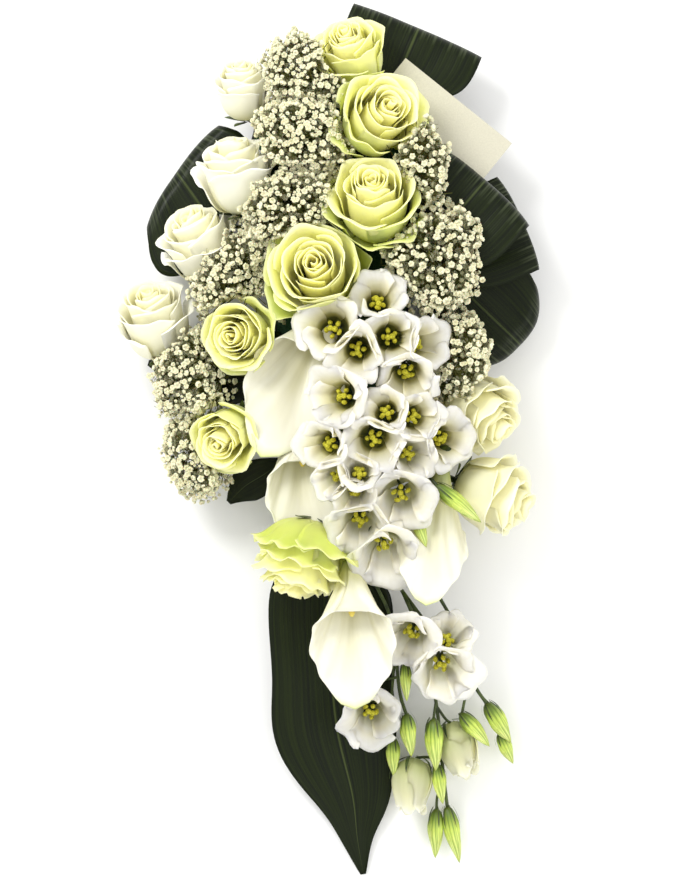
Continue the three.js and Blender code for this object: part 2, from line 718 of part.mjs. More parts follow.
// Bud: a pointed spindle from its stem to its tip
function budOf(from, to, radius) {
  const length = from.distanceTo(to);
  const shape = [[0, 0], [0.55, 0.06], [1, 0.38], [0.7, 0.74], [0, 1]];
  const profile = shape.map(([r, z]) => new THREE.Vector2(r * radius, z * length));
  const spindle = new THREE.LatheGeometry(profile, 5);
  const turn = new THREE.Quaternion().setFromUnitVectors(vec(0, 1, 0), to.clone().sub(from).normalize());
  return solidOf(spindle.applyQuaternion(turn).translate(from.x, from.y, from.z));
}

// Outline of the tray or foam: a round head and a round tail with straight sides, inset from the outside
function teardrop(inset) {
  const [head, tail] = [HEAD_RADIUS - inset, TAIL_RADIUS - inset];
  const slant = Math.asin((head - tail) / (HEAD_Y - TAIL_Y));
  const points = [];
  const arc = (y, radius, from, to, steps) => {
    for (let step = 0; step <= steps; step += 1) {
      const angle = from + ((to - from) * step) / steps;
      points.push([radius * Math.cos(angle), y + radius * Math.sin(angle)]);
    }
  };
  arc(HEAD_Y, head, -slant, Math.PI + slant, 13);
  arc(TAIL_Y, tail, Math.PI + slant, 2 * Math.PI - slant, 5);
  return points;
}

// A solid stacked from outlines of as many points each, given as inset and height
function stacked(levels) {
  const rings = levels.map(([inset, z]) => teardrop(inset).map(([x, y]) => vec(x, y, z)));
  const count = rings[0].length;
  const points = rings.flat();
  const index = [];
  for (let level = 0; level + 1 < rings.length; level += 1) {
    for (let i = 0; i < count; i += 1) {
      const [a, b] = [level * count + i, level * count + ((i + 1) % count)];
      index.push(a, b, b + count, a, b + count, a + count);
    }
  }
  const middleY = (HEAD_Y + TAIL_Y) / 2;
  const [bottom, top] = [points.length, points.length + 1];
  points.push(vec(0, middleY, levels[0][1]), vec(0, middleY, levels[levels.length - 1][1]));
  for (let i = 0; i < count; i += 1) {
    const next = (i + 1) % count;
    index.push(bottom, next, i);
    index.push(top, (rings.length - 1) * count + i, (rings.length - 1) * count + next);
  }
  return solidOf(indexedGeometry(points, index));
}

function trayShell() {
  const outside = stacked([[4, 0], [0, 5], [0, TRAY_HEIGHT]]);
  const inside = stacked([[TRAY_WALL + 3, TRAY_WALL + 0.5], [TRAY_WALL, 7], [TRAY_WALL, TRAY_HEIGHT + 1]]);
  return outside.subtract(inside);
}

function foamBlock() {
  const inset = TRAY_WALL + GAP;
  const floor = TRAY_WALL + 0.5 + GAP;
  return stacked([
    [inset + 3, floor],
    [inset, 7.5],
    [inset, FOAM_SHOULDER],
    [inset + 7, FOAM_SHOULDER + 9],
    [inset + 20, FOAM_TOP],
  ]);
}

// How far a ray from a cloud's middle runs before a head or the halfway plane to another cloud stops it
function freeShare(middle, ray, balls, others) {
  const length = ray.length();
  const way = ray.clone().divideScalar(length);
  const stops = balls.map((ball) => {
    const offset = ball.middle.clone().sub(middle);
    const along = offset.dot(way);
    const across = offset.lengthSq() - along * along;
    return along > 0 && across < ball.radius ** 2 ? along - Math.sqrt(ball.radius ** 2 - across) : Infinity;
  });
  for (const other of others) {
    const offset = other.clone().sub(middle);
    const approach = way.dot(offset);
    if (approach > 0) stops.push(offset.lengthSq() / 2 / approach - GAP);
  }
  return THREE.MathUtils.clamp(Math.min(...stops) / length, LEAST_FREE_SHARE, 1);
}

// Cloud of gypsophila: a dense mass of florets, each a point raised from the hollows round it
function gypsophilaCloud(cloud, random, balls, others) {
  const detail = cloud.size[0] < SMALL_CLOUD ? SMALL_CLOUD_DETAIL : CLOUD_DETAIL;
  const ball = new THREE.IcosahedronGeometry(1, detail);
  ball.deleteAttribute('normal');
  ball.deleteAttribute('uv');
  const merged = mergeVertices(ball, 1e-4);
  const index = merged.index.array;
  const neighbours = Array.from({ length: merged.attributes.position.count }, () => new Set());
  for (let i = 0; i < index.length; i += 3) {
    const corners = [index[i], index[i + 1], index[i + 2]];
    for (const corner of corners) corners.forEach((other) => neighbours[corner].add(other));
  }
  const raised = new Set();
  neighbours.forEach((near, i) => {
    if (![...near].some((other) => raised.has(other))) raised.add(i);
  });
  const middle = vec(...cloud.at);
  const points = neighbours.map((_, i) => {
    const ray = vec(0, 0, 0).fromBufferAttribute(merged.attributes.position, i).multiply(vec(...cloud.size));
    const height = raised.has(i) ? 0.94 + 0.06 * random() : CLOUD_HOLLOW;
    return ray.multiplyScalar(height * freeShare(middle, ray, balls, others)).add(middle);
  });
  return solidOf(indexedGeometry(points, [...index]));
}

// The card, and with a larger thickness the slot that clears it
function cardSheet(thickness) {
  const [start, end] = CARD.edge.map(([x, y]) => vec(x, y, CARD.outerZ));
  const along = end.clone().sub(start);
  const inward = vec(along.y, -along.x, 0).setLength(CARD.width).setZ(CARD.innerZ - CARD.outerZ);
  const pointAt = (u, v) => start.clone().addScaledVector(along, u).addScaledVector(inward, v);
  return { solid: solidOf(sheet(1, 1, thickness, pointAt)), pointAt };
}

// Card pick: a clamp round the card's inner edge on a square stick
function cardPick() {
  const { solid: slot, pointAt } = cardSheet(CARD.thickness + 2 * GAP);
  const edge = pointAt(0.5, 1);
  const turn = Math.atan2(CARD.edge[1][1] - CARD.edge[0][1], CARD.edge[1][0] - CARD.edge[0][0]);
  const clamp = new THREE.BoxGeometry(...CARD_CLAMP).rotateZ(turn).translate(edge.x, edge.y, edge.z);
  const foot = footUnder(edge);
  const { solid: stick, hole } = stem([edge.clone().add(vec(0, 0, -2)), foot], CARD_STICK, 4);
  return { name: 'card_pick', heads: [], own: solidOf(clamp).add(stick).subtract(slot), hole, anchor: foot };
}

// A rose, calla or spray before its neighbours are cut out of it
function roseFlower(rose, paint) {
  const { base, solid } = roseHead(rose);
  const stalk = stem([base.clone().addScaledVector(facing(rose), 3), footUnder(base, rose.foot)], ROSE_STEM);
  return { name: rose.name, heads: [solid], stalk: stalk.solid, hole: stalk.hole, anchor: base, paint };
}

function callaFlower(calla) {
  const { base, solid } = callaHead(calla);
  const way = facing(calla);
  const neck = base.clone().addScaledVector(way, -CALLA_NECK);
  const top = base.clone().addScaledVector(way, CALLA_SUNK);
  const stalk = stem([top, neck, footUnder(neck, calla.foot)], CALLA_STEM, 5);
  return {
    name: calla.name,
    heads: [solid],
    stalk: stalk.solid,
    hole: stalk.hole,
    anchor: base,
    paint: callaSpathe,
    clearance: callaHead(calla, PETAL_THICKNESS + 2 * GAP).solid,
  };
}

function lisianthusSpray(spray, random) {
  const foot = vec(...spray.foot);
  const heads = spray.heads.map((bloom) => lisianthusHead(bloom, random));
  const middle = heads.reduce((sum, head) => sum.add(head.base), vec(0, 0, 0)).divideScalar(heads.length);
  const fork = foot.clone().lerp(middle, 0.62);
  const stalks = [stem([fork, foot], LISIANTHUS_STEM)];
  for (const { base, solid } of heads) {
    const end = base.clone().sub(fork).setLength(STEM_SUNK).add(base);
    stalks.push(stem([end, fork], LISIANTHUS_STEM));
  }
  return {
    name: spray.name,
    heads: heads.map((head) => head.solid),
    stalk: join(stalks.map((stalk) => stalk.solid)),
    hole: join(stalks.map((stalk) => stalk.hole)),
    anchor: foot,
    paint: lisianthusPetal,
  };
}

function tipBloom(bloom, random) {
  const { base, solid } = lisianthusHead(bloom, random);
  return { name: bloom.name, heads: [solid], anchor: base, paint: lisianthusPetal };
}

function budSpray(spray) {
  const main = spray.stem.map((p) => vec(...p));
  const curve = new THREE.CatmullRomCurve3(main);
  const stems = [stem(main, LISIANTHUS_STEM)];
  const heads = [];
  const endWithBud = (path, bud) => {
    if (!bud) return;
    const end = path[path.length - 1];
    const start = end.clone().add(end.clone().sub(vec(...bud.tip)).setLength(BUD_OVERLAP));
    heads.push(budOf(start, vec(...bud.tip), bud.radius));
  };
  endWithBud(main, spray.bud);
  for (const side of spray.sides) {
    const path = [curve.getPoint(side.share), ...side.path.map((p) => vec(...p))];
    stems.push(stem(path, LISIANTHUS_STEM * 0.8, 4));
    endWithBud(path, side.bud);
  }
  return {
    name: spray.name,
    heads,
    stalk: join(stems.map((part) => part.solid)),
    hole: join(stems.map((part) => part.hole)),
    anchor: main[0],
    paint: greenBud,
  };
}

function leafPiece(leaf, blade, rows, foot) {
  const columns = leaf.fold ? 4 : 2;
  const sheetOf = (thickness, past) => {
    const pointAt = (u, v) => blade.pointAt(u * (1 + 2 * past) - past, v);
    return solidOf(sheet(columns, rows, thickness, pointAt));
  };
  const inside = blade.pointAt(0.5, 0.06);
  const stalk = stem([inside, foot], PETIOLE, 4);
  return {
    name: leaf.name,
    blade: sheetOf(LEAF_THICKNESS, 0),
    clearance: sheetOf(LEAF_THICKNESS + 2 * GAP, 0.01),
    stalk: stalk.solid,
    hole: stalk.hole,
    anchor: foot,
  };
}

function namedMesh(name, solid, anchor, paint) {
  const mesh = new THREE.Mesh(geometryOf(solid, anchor), paint());
  mesh.name = name;
  mesh.position.copy(anchor);
  return mesh;
}

function groupOf(...meshes) {
  const group = new THREE.Group();
  group.add(...meshes);
  return group;
}

// Everything is planned first, so that each piece can be cut clear of the others
const random = seededRandom(7);
const roses = [
  ...WHITE_ROSES.map((rose) => roseFlower(rose, whitePetal)),
  ...LIME_ROSES.map((rose) => roseFlower(rose, limePetal)),
];
const callas = CALLAS.map(callaFlower);
const sprays = LISIANTHUS_SPRAYS.map((spray) => lisianthusSpray(spray, random));
const tips = TIP_BLOOMS.map((bloom) => tipBloom(bloom, random));
const greens = BUD_SPRAYS.map(budSpray);
const leaves = [
  ...LOOPED_LEAVES.map((leaf) => {
    const blade = loopedBlade(leaf);
    return leafPiece(leaf, blade, 10, footUnder(blade.root));
  }),
  ...FLAT_LEAVES.map((leaf) => leafPiece(leaf, flatBlade(leaf), leaf.line.length, vec(...leaf.stalkTo))),
];
const pick = cardPick();
const clouds = GYPSOPHILA.map((cloud) => {
  const middle = vec(...cloud.at);
  const stalk = stem([middle, footUnder(middle, cloud.foot)], GYPSOPHILA_STEM, 4);
  return { cloud, stalk: stalk.solid, hole: stalk.hole, anchor: middle };
});

// Neighbouring heads part at planes, callas give way to all other heads, and each piece to others' stems
const flowers = [...callas, ...roses, ...sprays, ...tips, ...greens];
const holed = [...flowers, ...leaves, ...clouds, pick].filter((piece) => piece.hole);
const heads = flowers.flatMap((flower) => flower.heads.map((solid) => measured(solid, { flower })));
const firmHeads = heads.filter((head) => !head.flower.clearance);
partAll(firmHeads);
const firmClearances = firmHeads.map((head) => clearanceOf(head.solid));
const meshes = new Map();
for (const flower of flowers) {
  const holes = holed.filter((piece) => piece !== flower).map((piece) => piece.hole);
  const below = callas.slice(callas.indexOf(flower) + 1).map((other) => other.clearance);
  const tools = flower.clearance ? [...holes, ...firmClearances, ...below] : holes;
  const own = heads.filter((head) => head.flower === flower).map((head) => cutAway(head.solid, tools));
  const solid = largestBody(join(flower.stalk ? [flower.stalk, ...own] : own));
  meshes.set(flower.name, namedMesh(flower.name, solid, flower.anchor, flower.paint));
}
const headClearances = heads.map((head) => clearanceOf(head.solid));

const leafMeshes = leaves.map((leaf) => {
  const holes = holed.filter((piece) => piece !== leaf).map((piece) => piece.hole);
  const blade = cutAway(leaf.blade, [...holes, ...headClearances]);
  return namedMesh(leaf.name, largestBody(blade.add(leaf.stalk)), leaf.anchor, darkLeaf);
});

const leafClearances = leaves.map((leaf) => leaf.clearance);
const cardClearance = cardSheet(CARD.thickness + 2 * GAP).solid;
const headBalls = heads.map(({ points, middle }) => {
  return { middle, radius: Math.max(...points.map((p) => p.distanceTo(middle))) * 0.9 };
});
const cloudBodies = clouds.map(({ cloud }) => {
  const others = clouds.filter((other) => other.cloud !== cloud).map((other) => vec(...other.cloud.at));
  return gypsophilaCloud(cloud, random, headBalls, others);
});
const cloudMeshes = clouds.map(({ cloud, stalk, hole, anchor }, i) => {
  const holes = holed.filter((piece) => piece.hole !== hole).map((piece) => piece.hole);
  const tools = [...holes, ...headClearances, ...leafClearances, cardClearance];
  const solid = largestBody(cutAway(cloudBodies[i], tools).add(stalk));
  return namedMesh(cloud.name, solid, anchor, gypsophilaWhite);
});

const foam = largestBody(cutAway(foamBlock(), holed.map((piece) => piece.hole)));
const origin = vec(0, 0, 0);
const arrangement = groupOf(
  groupOf(
    namedMesh('tray', trayShell(), origin, blackTray),
    namedMesh('foam', foam, origin, wetFoam),
  ),
  groupOf(...leafMeshes),
  groupOf(...roses.map((rose) => meshes.get(rose.name))),
  groupOf(
    ...callas.map((calla) => meshes.get(calla.name)),
    ...CALLAS.map((calla) => {
      const solid = spadixOf(calla);
      return namedMesh(`${calla.name}_spadix`, solid, vec(...calla.at), callaSpadix);
    }),
  ),
  groupOf(...[...sprays, ...tips, ...greens].map((spray) => meshes.get(spray.name))),
  groupOf(...cloudMeshes),
  groupOf(
    namedMesh('card', cardSheet(CARD.thickness).solid, origin, whiteCard),
    namedMesh('card_pick', pick.own, pick.anchor, clearPick),
  ),
);

export default arrangement;
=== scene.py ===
"""A teardrop funeral arrangement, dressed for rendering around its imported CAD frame.

The frame gives the place of every piece in metres: +Z up, +Y from the pointed end to the round head.
Each bloom, leaf and spray takes the place of its plain CAD solid. Tables are in millimetres.
"""

import math
from collections import namedtuple
from functools import cache

import bpy
import numpy as np
from bpy.props import FloatProperty, FloatVectorProperty, IntProperty, PointerProperty
from mathutils import Matrix, Vector


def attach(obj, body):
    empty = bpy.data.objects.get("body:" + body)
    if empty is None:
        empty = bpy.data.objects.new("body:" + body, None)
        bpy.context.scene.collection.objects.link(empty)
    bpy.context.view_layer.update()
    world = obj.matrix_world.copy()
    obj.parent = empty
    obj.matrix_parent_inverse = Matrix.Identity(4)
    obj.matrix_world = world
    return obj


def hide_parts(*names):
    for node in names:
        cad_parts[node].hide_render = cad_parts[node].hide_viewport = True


bl_info = {
    "name": "Teardrop funeral arrangement",
    "version": (1, 0, 0),
    "blender": (4, 5, 0),
    "location": "3D View > Sidebar > Flowers",
    "description": "Builds the blooms, leaves, tray and stage of a teardrop funeral arrangement",
    "category": "Add Mesh",
}

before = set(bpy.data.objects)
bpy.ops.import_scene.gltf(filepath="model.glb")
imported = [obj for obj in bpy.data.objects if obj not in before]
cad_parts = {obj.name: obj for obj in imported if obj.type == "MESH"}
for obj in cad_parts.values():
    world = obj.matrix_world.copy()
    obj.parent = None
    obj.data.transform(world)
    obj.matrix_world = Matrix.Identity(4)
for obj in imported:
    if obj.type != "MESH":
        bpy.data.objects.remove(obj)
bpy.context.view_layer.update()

MM = 0.001
DEGREE = math.pi / 180

# Outline of the foam that the stems stand in, as in the CAD source
HEAD_RADIUS = 75
HEAD_Y = 141
TAIL_RADIUS = 28
TAIL_Y = -150
FOOT_Z = 20
SIDE_FOOT_Z = 38
FOOT_MARGIN = 12

# A bloom's height as a share of its radius, then the stems' radii
ROSE_HEIGHT_RATIO = 2.1
LISIANTHUS_DEPTH_RATIO = 1.2
ROSE_STEM = 2.6
CALLA_STEM = 5.2
LISIANTHUS_STEM = 1.5
PETIOLE = 1.5
GYPSOPHILA_STEM = 0.9

# Roses: middle and radius of the head, where it faces and how far it leans, how it is turned, where its stem
# ends, the angles of its guard petals and how far its petals open
Rose = namedtuple("Rose", "name at radius toward tilt turn foot guards flare", defaults=(None, (), 1.0))
WHITE_ROSES = (
    Rose("white_rose_crown", (-78, 194, 74), 23, 98, 62, 10),
    Rose("white_rose_left_upper", (-82, 125, 82), 30, 100, 72, 60),
    Rose("white_rose_left", (-112, 69, 67), 29, 116, 62, 25),
    Rose("white_rose_left_lower", (-150, 9, 56), 29, 105, 57, 95),
    Rose("white_rose_right", (113, -66, 70), 29, -38, 60, 40, (34, -46)),
    Rose("white_rose_right_lower", (124, -132, 62), 30, -20, 72, 75, (28, -96)),
)
LIME_ROSES = (
    Rose("lime_rose_crown", (10, 222, 82), 27, 112, 44, 0, None, (168,)),
    Rose("lime_rose_upper", (31, 169, 100), 31, 45, 28, 45, None, (165, -40)),
    Rose("lime_rose_heart", (27, 102, 104), 33, 96, 34, 80, None, (150, 215)),
    Rose("lime_rose_middle", (-18, 44, 105), 35, 110, 16, 20, None, (118, 258)),
    Rose("lime_rose_left", (-79, -4, 90), 27, 190, 20, 65),
    Rose("lime_rose_left_lower", (-90, -84, 76), 25, 225, 32, 30, (-32, -62), (-25,)),
    Rose("lime_rose_bottom", (-30, -184, 74), 31, -105, 84, 55, (-20, -130), (150, 212), 1.3),
)

# Petals of a rose from the outermost to the innermost, in equal steps: half angle, then the radius of belly
# and lip, the height and the roll of the lip as shares of the head's radius or height
ROSE_PETALS = 18
GOLDEN_ANGLE = 137.5
ROSE_SHAPES = (
    (60, 64, 68, 76, 90, 110, 136, 170),
    (0.94, 0.88, 0.79, 0.67, 0.54, 0.40, 0.26, 0.12),
    (1.14, 1.00, 0.85, 0.68, 0.51, 0.36, 0.22, 0.08),
    (0.64, 0.77, 0.87, 0.93, 0.97, 0.99, 1.0, 0.99),
    (0.30, 0.27, 0.20, 0.13, 0.09, 0.07, 0.055, 0.03),
)

# A wide green guard petal under a lime rose: half angle, belly, lip, top and roll
GUARD_SHAPE = (44, 1.02, 1.36, 0.50, 0.2)

# Callas: foot, length and radius of the spathe, where it faces, how it is turned, where its stem ends and how
# long its spadix is, as a share of the spathe's length
Calla = namedtuple("Calla", "name at length radius toward tilt turn foot spadix", defaults=(0.385,))
CALLAS = (
    Calla("calla_left", (-3, 28, 74), 142, 38, -115, 74, 0, (4, 44), 0.34),
    Calla("calla_middle", (-33, -66, 67), 118, 30, -86, 74, 0, (-20, -46)),
    Calla("calla_bottom", (8, -186, 80), 118, 33, -88, 74, 0, (-4, -142)),
    Calla("calla_right", (82, -112, 84), 110, 27, -97, 92, 180, (24, -122)),
)
CALLA_THROAT = 5.2
CALLA_NECK = 16
CALLA_SUNK = 6

# Layer values that give a lisianthus petal its colours: an olive throat darkened with painted shade, a paler
# throat with less painted shade, and a half-open bloom's green
SHADED_OLIVE_THROAT = 0.0
PALE_THROAT = 0.5
HALF_OPEN = 1.0

# Sprays of lisianthus: where the stem ends, and the middle, radius and lean of each open bloom
Bell = namedtuple("Bell", "at radius toward tilt")
Spray = namedtuple("Spray", "name foot heads throat", defaults=(SHADED_OLIVE_THROAT,))
LISIANTHUS_SPRAYS = (
    Spray("lisianthus_spray_upper_left", (4, -4, 20), (
        Bell((-8, 2, 126), 28, 150, 10),
        Bell((31, 26, 122), 22, 80, 20),
        Bell((13, -19, 128), 24, 250, 12))),
    Spray("lisianthus_spray_upper_right", (34, 0, 20), (
        Bell((41, -6, 128), 25, 0, 5),
        Bell((70, -12, 116), 24, 0, 45),
        Bell((54, -41, 121), 25, 280, 28))),
    Spray("lisianthus_spray_middle_left", (2, -52, 20), (
        Bell((-4, -53, 124), 25, 180, 25),
        Bell((-14, -93, 116), 23, 200, 25),
        Bell((27, -90, 125), 26, 270, 12))),
    Spray("lisianthus_spray_middle_right", (26, -64, 20), (
        Bell((36, -64, 127), 21, 120, 10),
        Bell((62, -69, 121), 22, 0, 18),
        Bell((87, -89, 106), 23, -20, 30))),
    Spray("lisianthus_spray_right", (16, -96, 20), (
        Bell((58, -101, 116), 21, -30, 20),
        Bell((49, -137, 112), 29, 270, 20)), PALE_THROAT),
    Spray("lisianthus_spray_left", (-8, -110, 20), (
        Bell((15, -111, 121), 19, 100, 15),
        Bell((-6, -119, 114), 20, 210, 25),
        Bell((10, -132, 114), 20, 250, 20)), PALE_THROAT),
    Spray("lisianthus_spray_lower", (2, -126, 20), (
        Bell((16, -158, 107), 26, 270, 25),
        Bell((36, -181, 101), 29, 275, 35)), PALE_THROAT),
    Spray("lisianthus_spray_trailing", (12, -148, 46), (
        Bell((54, -250, 78), 26, 240, 30),
        Bell((84, -276, 70), 28, 285, 25),
        Bell((90, -244, 68), 22, 60, 30)), PALE_THROAT),
)
STEM_FORK = 0.62

# Radius and height along a lisianthus petal, from foot to lip, as shares of the mouth's radius and the depth
BELL_RADII = (0.10, 0.36, 0.48, 0.57, 0.70, 0.91, 1.07)
BELL_HEIGHTS = (0, 0.17, 0.42, 0.70, 0.93, 1.04, 0.98)
HALF_OPEN_RADII = (0.16, 0.75, 1.0, 0.96, 0.78, 0.62, 0.66)
HALF_OPEN_HEIGHTS = (0, 0.12, 0.34, 0.56, 0.76, 0.92, 1.0)

# Single blooms at the pointed end
TipBloom = namedtuple("TipBloom", "name at radius depth toward tilt throat")
TIP_BLOOMS = (
    TipBloom("lisianthus_low_left", (25, -314, 56), 25, 30, 275, 20, PALE_THROAT),
    TipBloom("lisianthus_half_open_left", (58, -392, 34), 16, 46, 268, 68, HALF_OPEN),
    TipBloom("lisianthus_half_open_right", (104, -360, 36), 16, 46, 290, 66, HALF_OPEN),
)

# Sprays of buds: a stem with a bud at its end, and side stems that leave it at a share of its length
Bud = namedtuple("Bud", "tip radius")
Side = namedtuple("Side", "share path bud", defaults=(None,))
GreenSpray = namedtuple("GreenSpray", "name stem bud sides")
BUD_SPRAYS = (
    GreenSpray(
        "bud_spray_right",
        ((30, -84, 24), (50, -98, 70), (66, -112, 98), (78, -125, 108)),
        Bud((113, -154, 102), 7),
        (Side(0.45, ((66, -126, 82), (60, -146, 91)), Bud((69, -174, 99), 6)),)),
    GreenSpray(
        "bud_spray_low_left",
        ((5, -156, 37), (24, -196, 46), (42, -236, 46), (48, -290, 42), (54, -312, 46)),
        Bud((58, -346, 44), 7),
        (Side(0.6, ((42, -300, 36), (43, -332, 32)), Bud((44, -364, 28), 6)),
         Side(0.7, ((32, -286, 36), (27, -303, 30))),
         Side(0.55, ((52, -262, 54), (53, -270, 56)), Bud((54, -300, 57), 5)))),
    GreenSpray(
        "bud_spray_low_middle",
        ((19, -150, 37), (38, -188, 42), (64, -240, 36), (78, -300, 28), (84, -356, 20), (88, -390, 16)),
        Bud((98, -436, 13), 7),
        (Side(0.5, ((78, -294, 38), (76, -316, 42)), Bud((78, -358, 40), 8)),
         Side(0.78, ((72, -348, 22), (62, -349, 18))),
         Side(0.74, ((78, -344, 30), (79, -354, 31)), Bud((84, -386, 30), 6)),
         Side(0.85, ((80, -380, 15), (79, -392, 14)), Bud((78, -432, 12), 7)),
         Side(0.62, ((88, -318, 26), (99, -322, 24))))),
    GreenSpray(
        "bud_spray_low_right",
        ((27, -137, 38), (50, -168, 44), (92, -236, 42), (108, -284, 36), (120, -304, 32)),
        Bud((140, -336, 26), 8),
        (Side(0.78, ((104, -290, 38), (99, -312, 38)), Bud((122, -338, 38), 7)),
         Side(0.9, ((128, -312, 26), (131, -330, 20)), Bud((142, -354, 16), 6)))),
)
BUD_OVERLAP = 2.5

# Leaves rolled over a fold: the fold's ends, its height and the roll's radius, how far the leaf runs back
# over and under, how it rises, bulges and slides sideways on the way, and how round its fold is
Loop = namedtuple("Loop", "name fold height roll over under rise bulge skew round")
LOOPED_LEAVES = (
    Loop("leaf_crown_loop", ((12, 269), (116, 225)), 42, 9, 54, 46, 8, 0, 0, 2),
    Loop("leaf_left_loop", ((-162, 89), (-104, 171)), 42, 9, 66, 56, 6, 0.3, 0.35, 6),
    Loop("leaf_right_roll", ((79, 153), (155, 88)), 82, 11, 74, 62, -4, 0, 0, 5),
    Loop("leaf_right_behind", ((131, 127), (165, 52)), 52, 5, 74, 66, 2, 0, 0, 4),
    Loop("leaf_right_loop", ((176, 20), (118, -41)), 27, 12, 88, 78, 9, 0.2, 0, 20),
)

# Leaves that lie flat: the middle line, half the width along it and where the stalk ends
Blade = namedtuple("Blade", "name line half_widths stalk_to")
FLAT_LEAVES = (
    Blade(
        "leaf_long_hanging",
        ((-6, -184, 44), (-9, -212, 40), (-7, -280, 30), (-2, -328, 22),
         (10, -380, 12), (14, -416, 6), (19, -446, 3)),
        (20, 48, 50, 50, 32, 14, 2),
        (-6, -152, 36)),
    Blade(
        "leaf_left_flat",
        ((-64, -36, 46), (-90, -42, 44), (-124, -34, 36), (-157, -25, 28)),
        (4, 18, 17, 2),
        (-36, -30, 36)),
    Blade(
        "leaf_lower_tip",
        ((-48, -106, 46), (-62, -116, 44), (-78, -126, 40), (-91, -139, 36)),
        (4, 15, 14, 2),
        (-18, -116, 38)),
)

# Clouds of gypsophila: middle and half sizes, where the stem ends, how far apart the florets stand as a share
# of the spacing, and how wide the low skirt round the cloud is as a share of its half sizes
Cloud = namedtuple("Cloud", "name at size foot looseness skirt", defaults=(None, 1.0, (0.8, 1.0)))
GYPSOPHILA = (
    Cloud("gypsophila_crown", (-24, 204, 88), (45, 40, 32), None, 1.0, (0.7, 0.7)),
    Cloud("gypsophila_upper", (-28, 156, 96), (48, 48, 32)),
    Cloud("gypsophila_heart", (-34, 96, 96), (52, 48, 32)),
    Cloud("gypsophila_left", (-76, 40, 83), (50, 52, 30)),
    Cloud("gypsophila_left_low", (-116, -36, 66), (40, 50, 26)),
    Cloud("gypsophila_lower", (-112, -96, 56), (36, 42, 24)),
    Cloud("gypsophila_right_upper", (55, 129, 106), (38, 48, 26), (44, 116), 1.2, (0.6, 0.8)),
    Cloud("gypsophila_right", (72, 58, 98), (48, 56, 30), (44, 72), 1.2, (0.7, 0.9)),
    Cloud("gypsophila_right_low", (96, -24, 84), (28, 46, 24), None, 1.1),
)

# Angles of a lisianthus bloom's five petals, and of five sepals
FIVE_WAYS = (0, 72, 144, 216, 288)

# How far a rose and a bell press on their neighbours, as a share of their radius
ROSE_REACH = 1.08
BELL_REACH = 0.98

# Branches in a cloud of gypsophila
BRANCHES = 26

# Columns and rows of the sheets that petals and leaves are made of
PETAL_GRID = (16, 11)
SPATHE_GRID = (64, 28)
BELL_GRID = (14, 10)
SEPAL_GRID = (4, 6)
BLADE_GRID = (28, 64)

# The camera looks straight down on the middle of the photograph, 0.8 mm to a pixel at the blooms' height
VIEW_MIDDLE = (8, -86)
VIEW_HEIGHT = 95
VIEW_DISTANCE = 3000
VIEW_LONG_SIDE = 700
SENSOR = 36
CAMERA_REACH = 20

# Stage: half the floor's width, the place, width and power of each light, all in metres and watts, the sky's
# strength and how the picture is exposed
FLOOR_HALF = 6
KEY_LIGHT = ((-0.8, 0.9, 1.4), 0.7, 15)
FILL_LIGHT = ((1.2, -0.6, 1.3), 1.2, 5)
SKY_STRENGTH = 0.84
CONTRAST = "Medium Contrast"
EXPOSURE = 0.46

# Kinds of node that many materials use, and the sockets of the one that mixes two colours
RAMP = "ShaderNodeValToRGB"
NOISE = "ShaderNodeTexNoise"
ROUND_CELLS = "ShaderNodeTexVoronoi"
MIX = "ShaderNodeMix"
FACTOR = 0
FIRST = 6
SECOND = 7
MIXED = 2


def linear(text):
    """An sRGB hex colour as three linear values."""
    channels = [int(text[i:i + 2], 16) / 255 for i in (1, 3, 5)]
    return tuple(c / 12.92 if c <= 0.04045 else ((c + 0.055) / 1.055) ** 2.4 for c in channels)


def length_property(name, description, default, least, most):
    return FloatProperty(name=name, description=description, default=default * MM,
                         min=least * MM, max=most * MM, unit="LENGTH", precision=5)


def colour_property(name, description, default):
    return FloatVectorProperty(name=name, description=description, subtype="COLOR", size=3,
                               min=0, max=1, default=linear(default))


class ArrangementSettings(bpy.types.PropertyGroup):
    """Sizes and colours that a florist would choose."""

    petal_thickness: length_property("Petal thickness", "Thickness of roses and lisianthus", 0.45, 0.2, 2)
    spathe_thickness: length_property("Spathe thickness", "Thickness of a calla's spathe", 1.0, 0.4, 3)
    leaf_thickness: length_property("Leaf thickness", "Thickness of an aspidistra blade", 0.7, 0.3, 2)
    floret_width: length_property("Floret width", "Width of an open gypsophila floret", 5.2, 2, 9)
    floret_spacing: length_property("Floret spacing", "Distance between gypsophila florets", 4.1, 3, 12)
    seed: IntProperty(name="Seed", description="Seed of every random draw", default=11, min=0)
    white_rose: colour_property("White rose", "Petals of the white roses", "#fcfae8")
    # Cream at the foot of the white roses' petals, partly painted shade
    white_rose_shaded_foot: colour_property("White rose depth", "Foot of the white roses' petals", "#e4e19a")
    lime_rose: colour_property("Lime rose", "Inner petals of the lime roses", "#fff79c")
    lime_rose_outer: colour_property("Lime rose outside", "Outer petals of the lime roses", "#c3d05e")
    calla: colour_property("Calla", "Spathes of the callas", "#e2dfca")
    spadix: colour_property("Spadix", "Spadices of the callas", "#f6e27c")
    lisianthus: colour_property("Lisianthus", "Petals of the lisianthus", "#f6f2de")
    bud: colour_property("Bud", "Green lisianthus buds", "#cbdc60")
    stem: colour_property("Stem", "Stems and sepals", "#4b5a26")
    leaf: colour_property("Leaf", "Aspidistra leaves", "#0d1308")
    floret: colour_property("Floret", "Gypsophila florets", "#e2dfc0")
    sprig: colour_property("Sprig", "Threads and needles of the gypsophila", "#4c4f1c")


def settings():
    return bpy.context.scene.arrangement


def vec(point):
    return Vector(point) * MM


def bezier(t, a, b, c, d):
    s = 1 - t
    return s ** 3 * a + 3 * s * s * t * b + 3 * s * t * t * c + t ** 3 * d


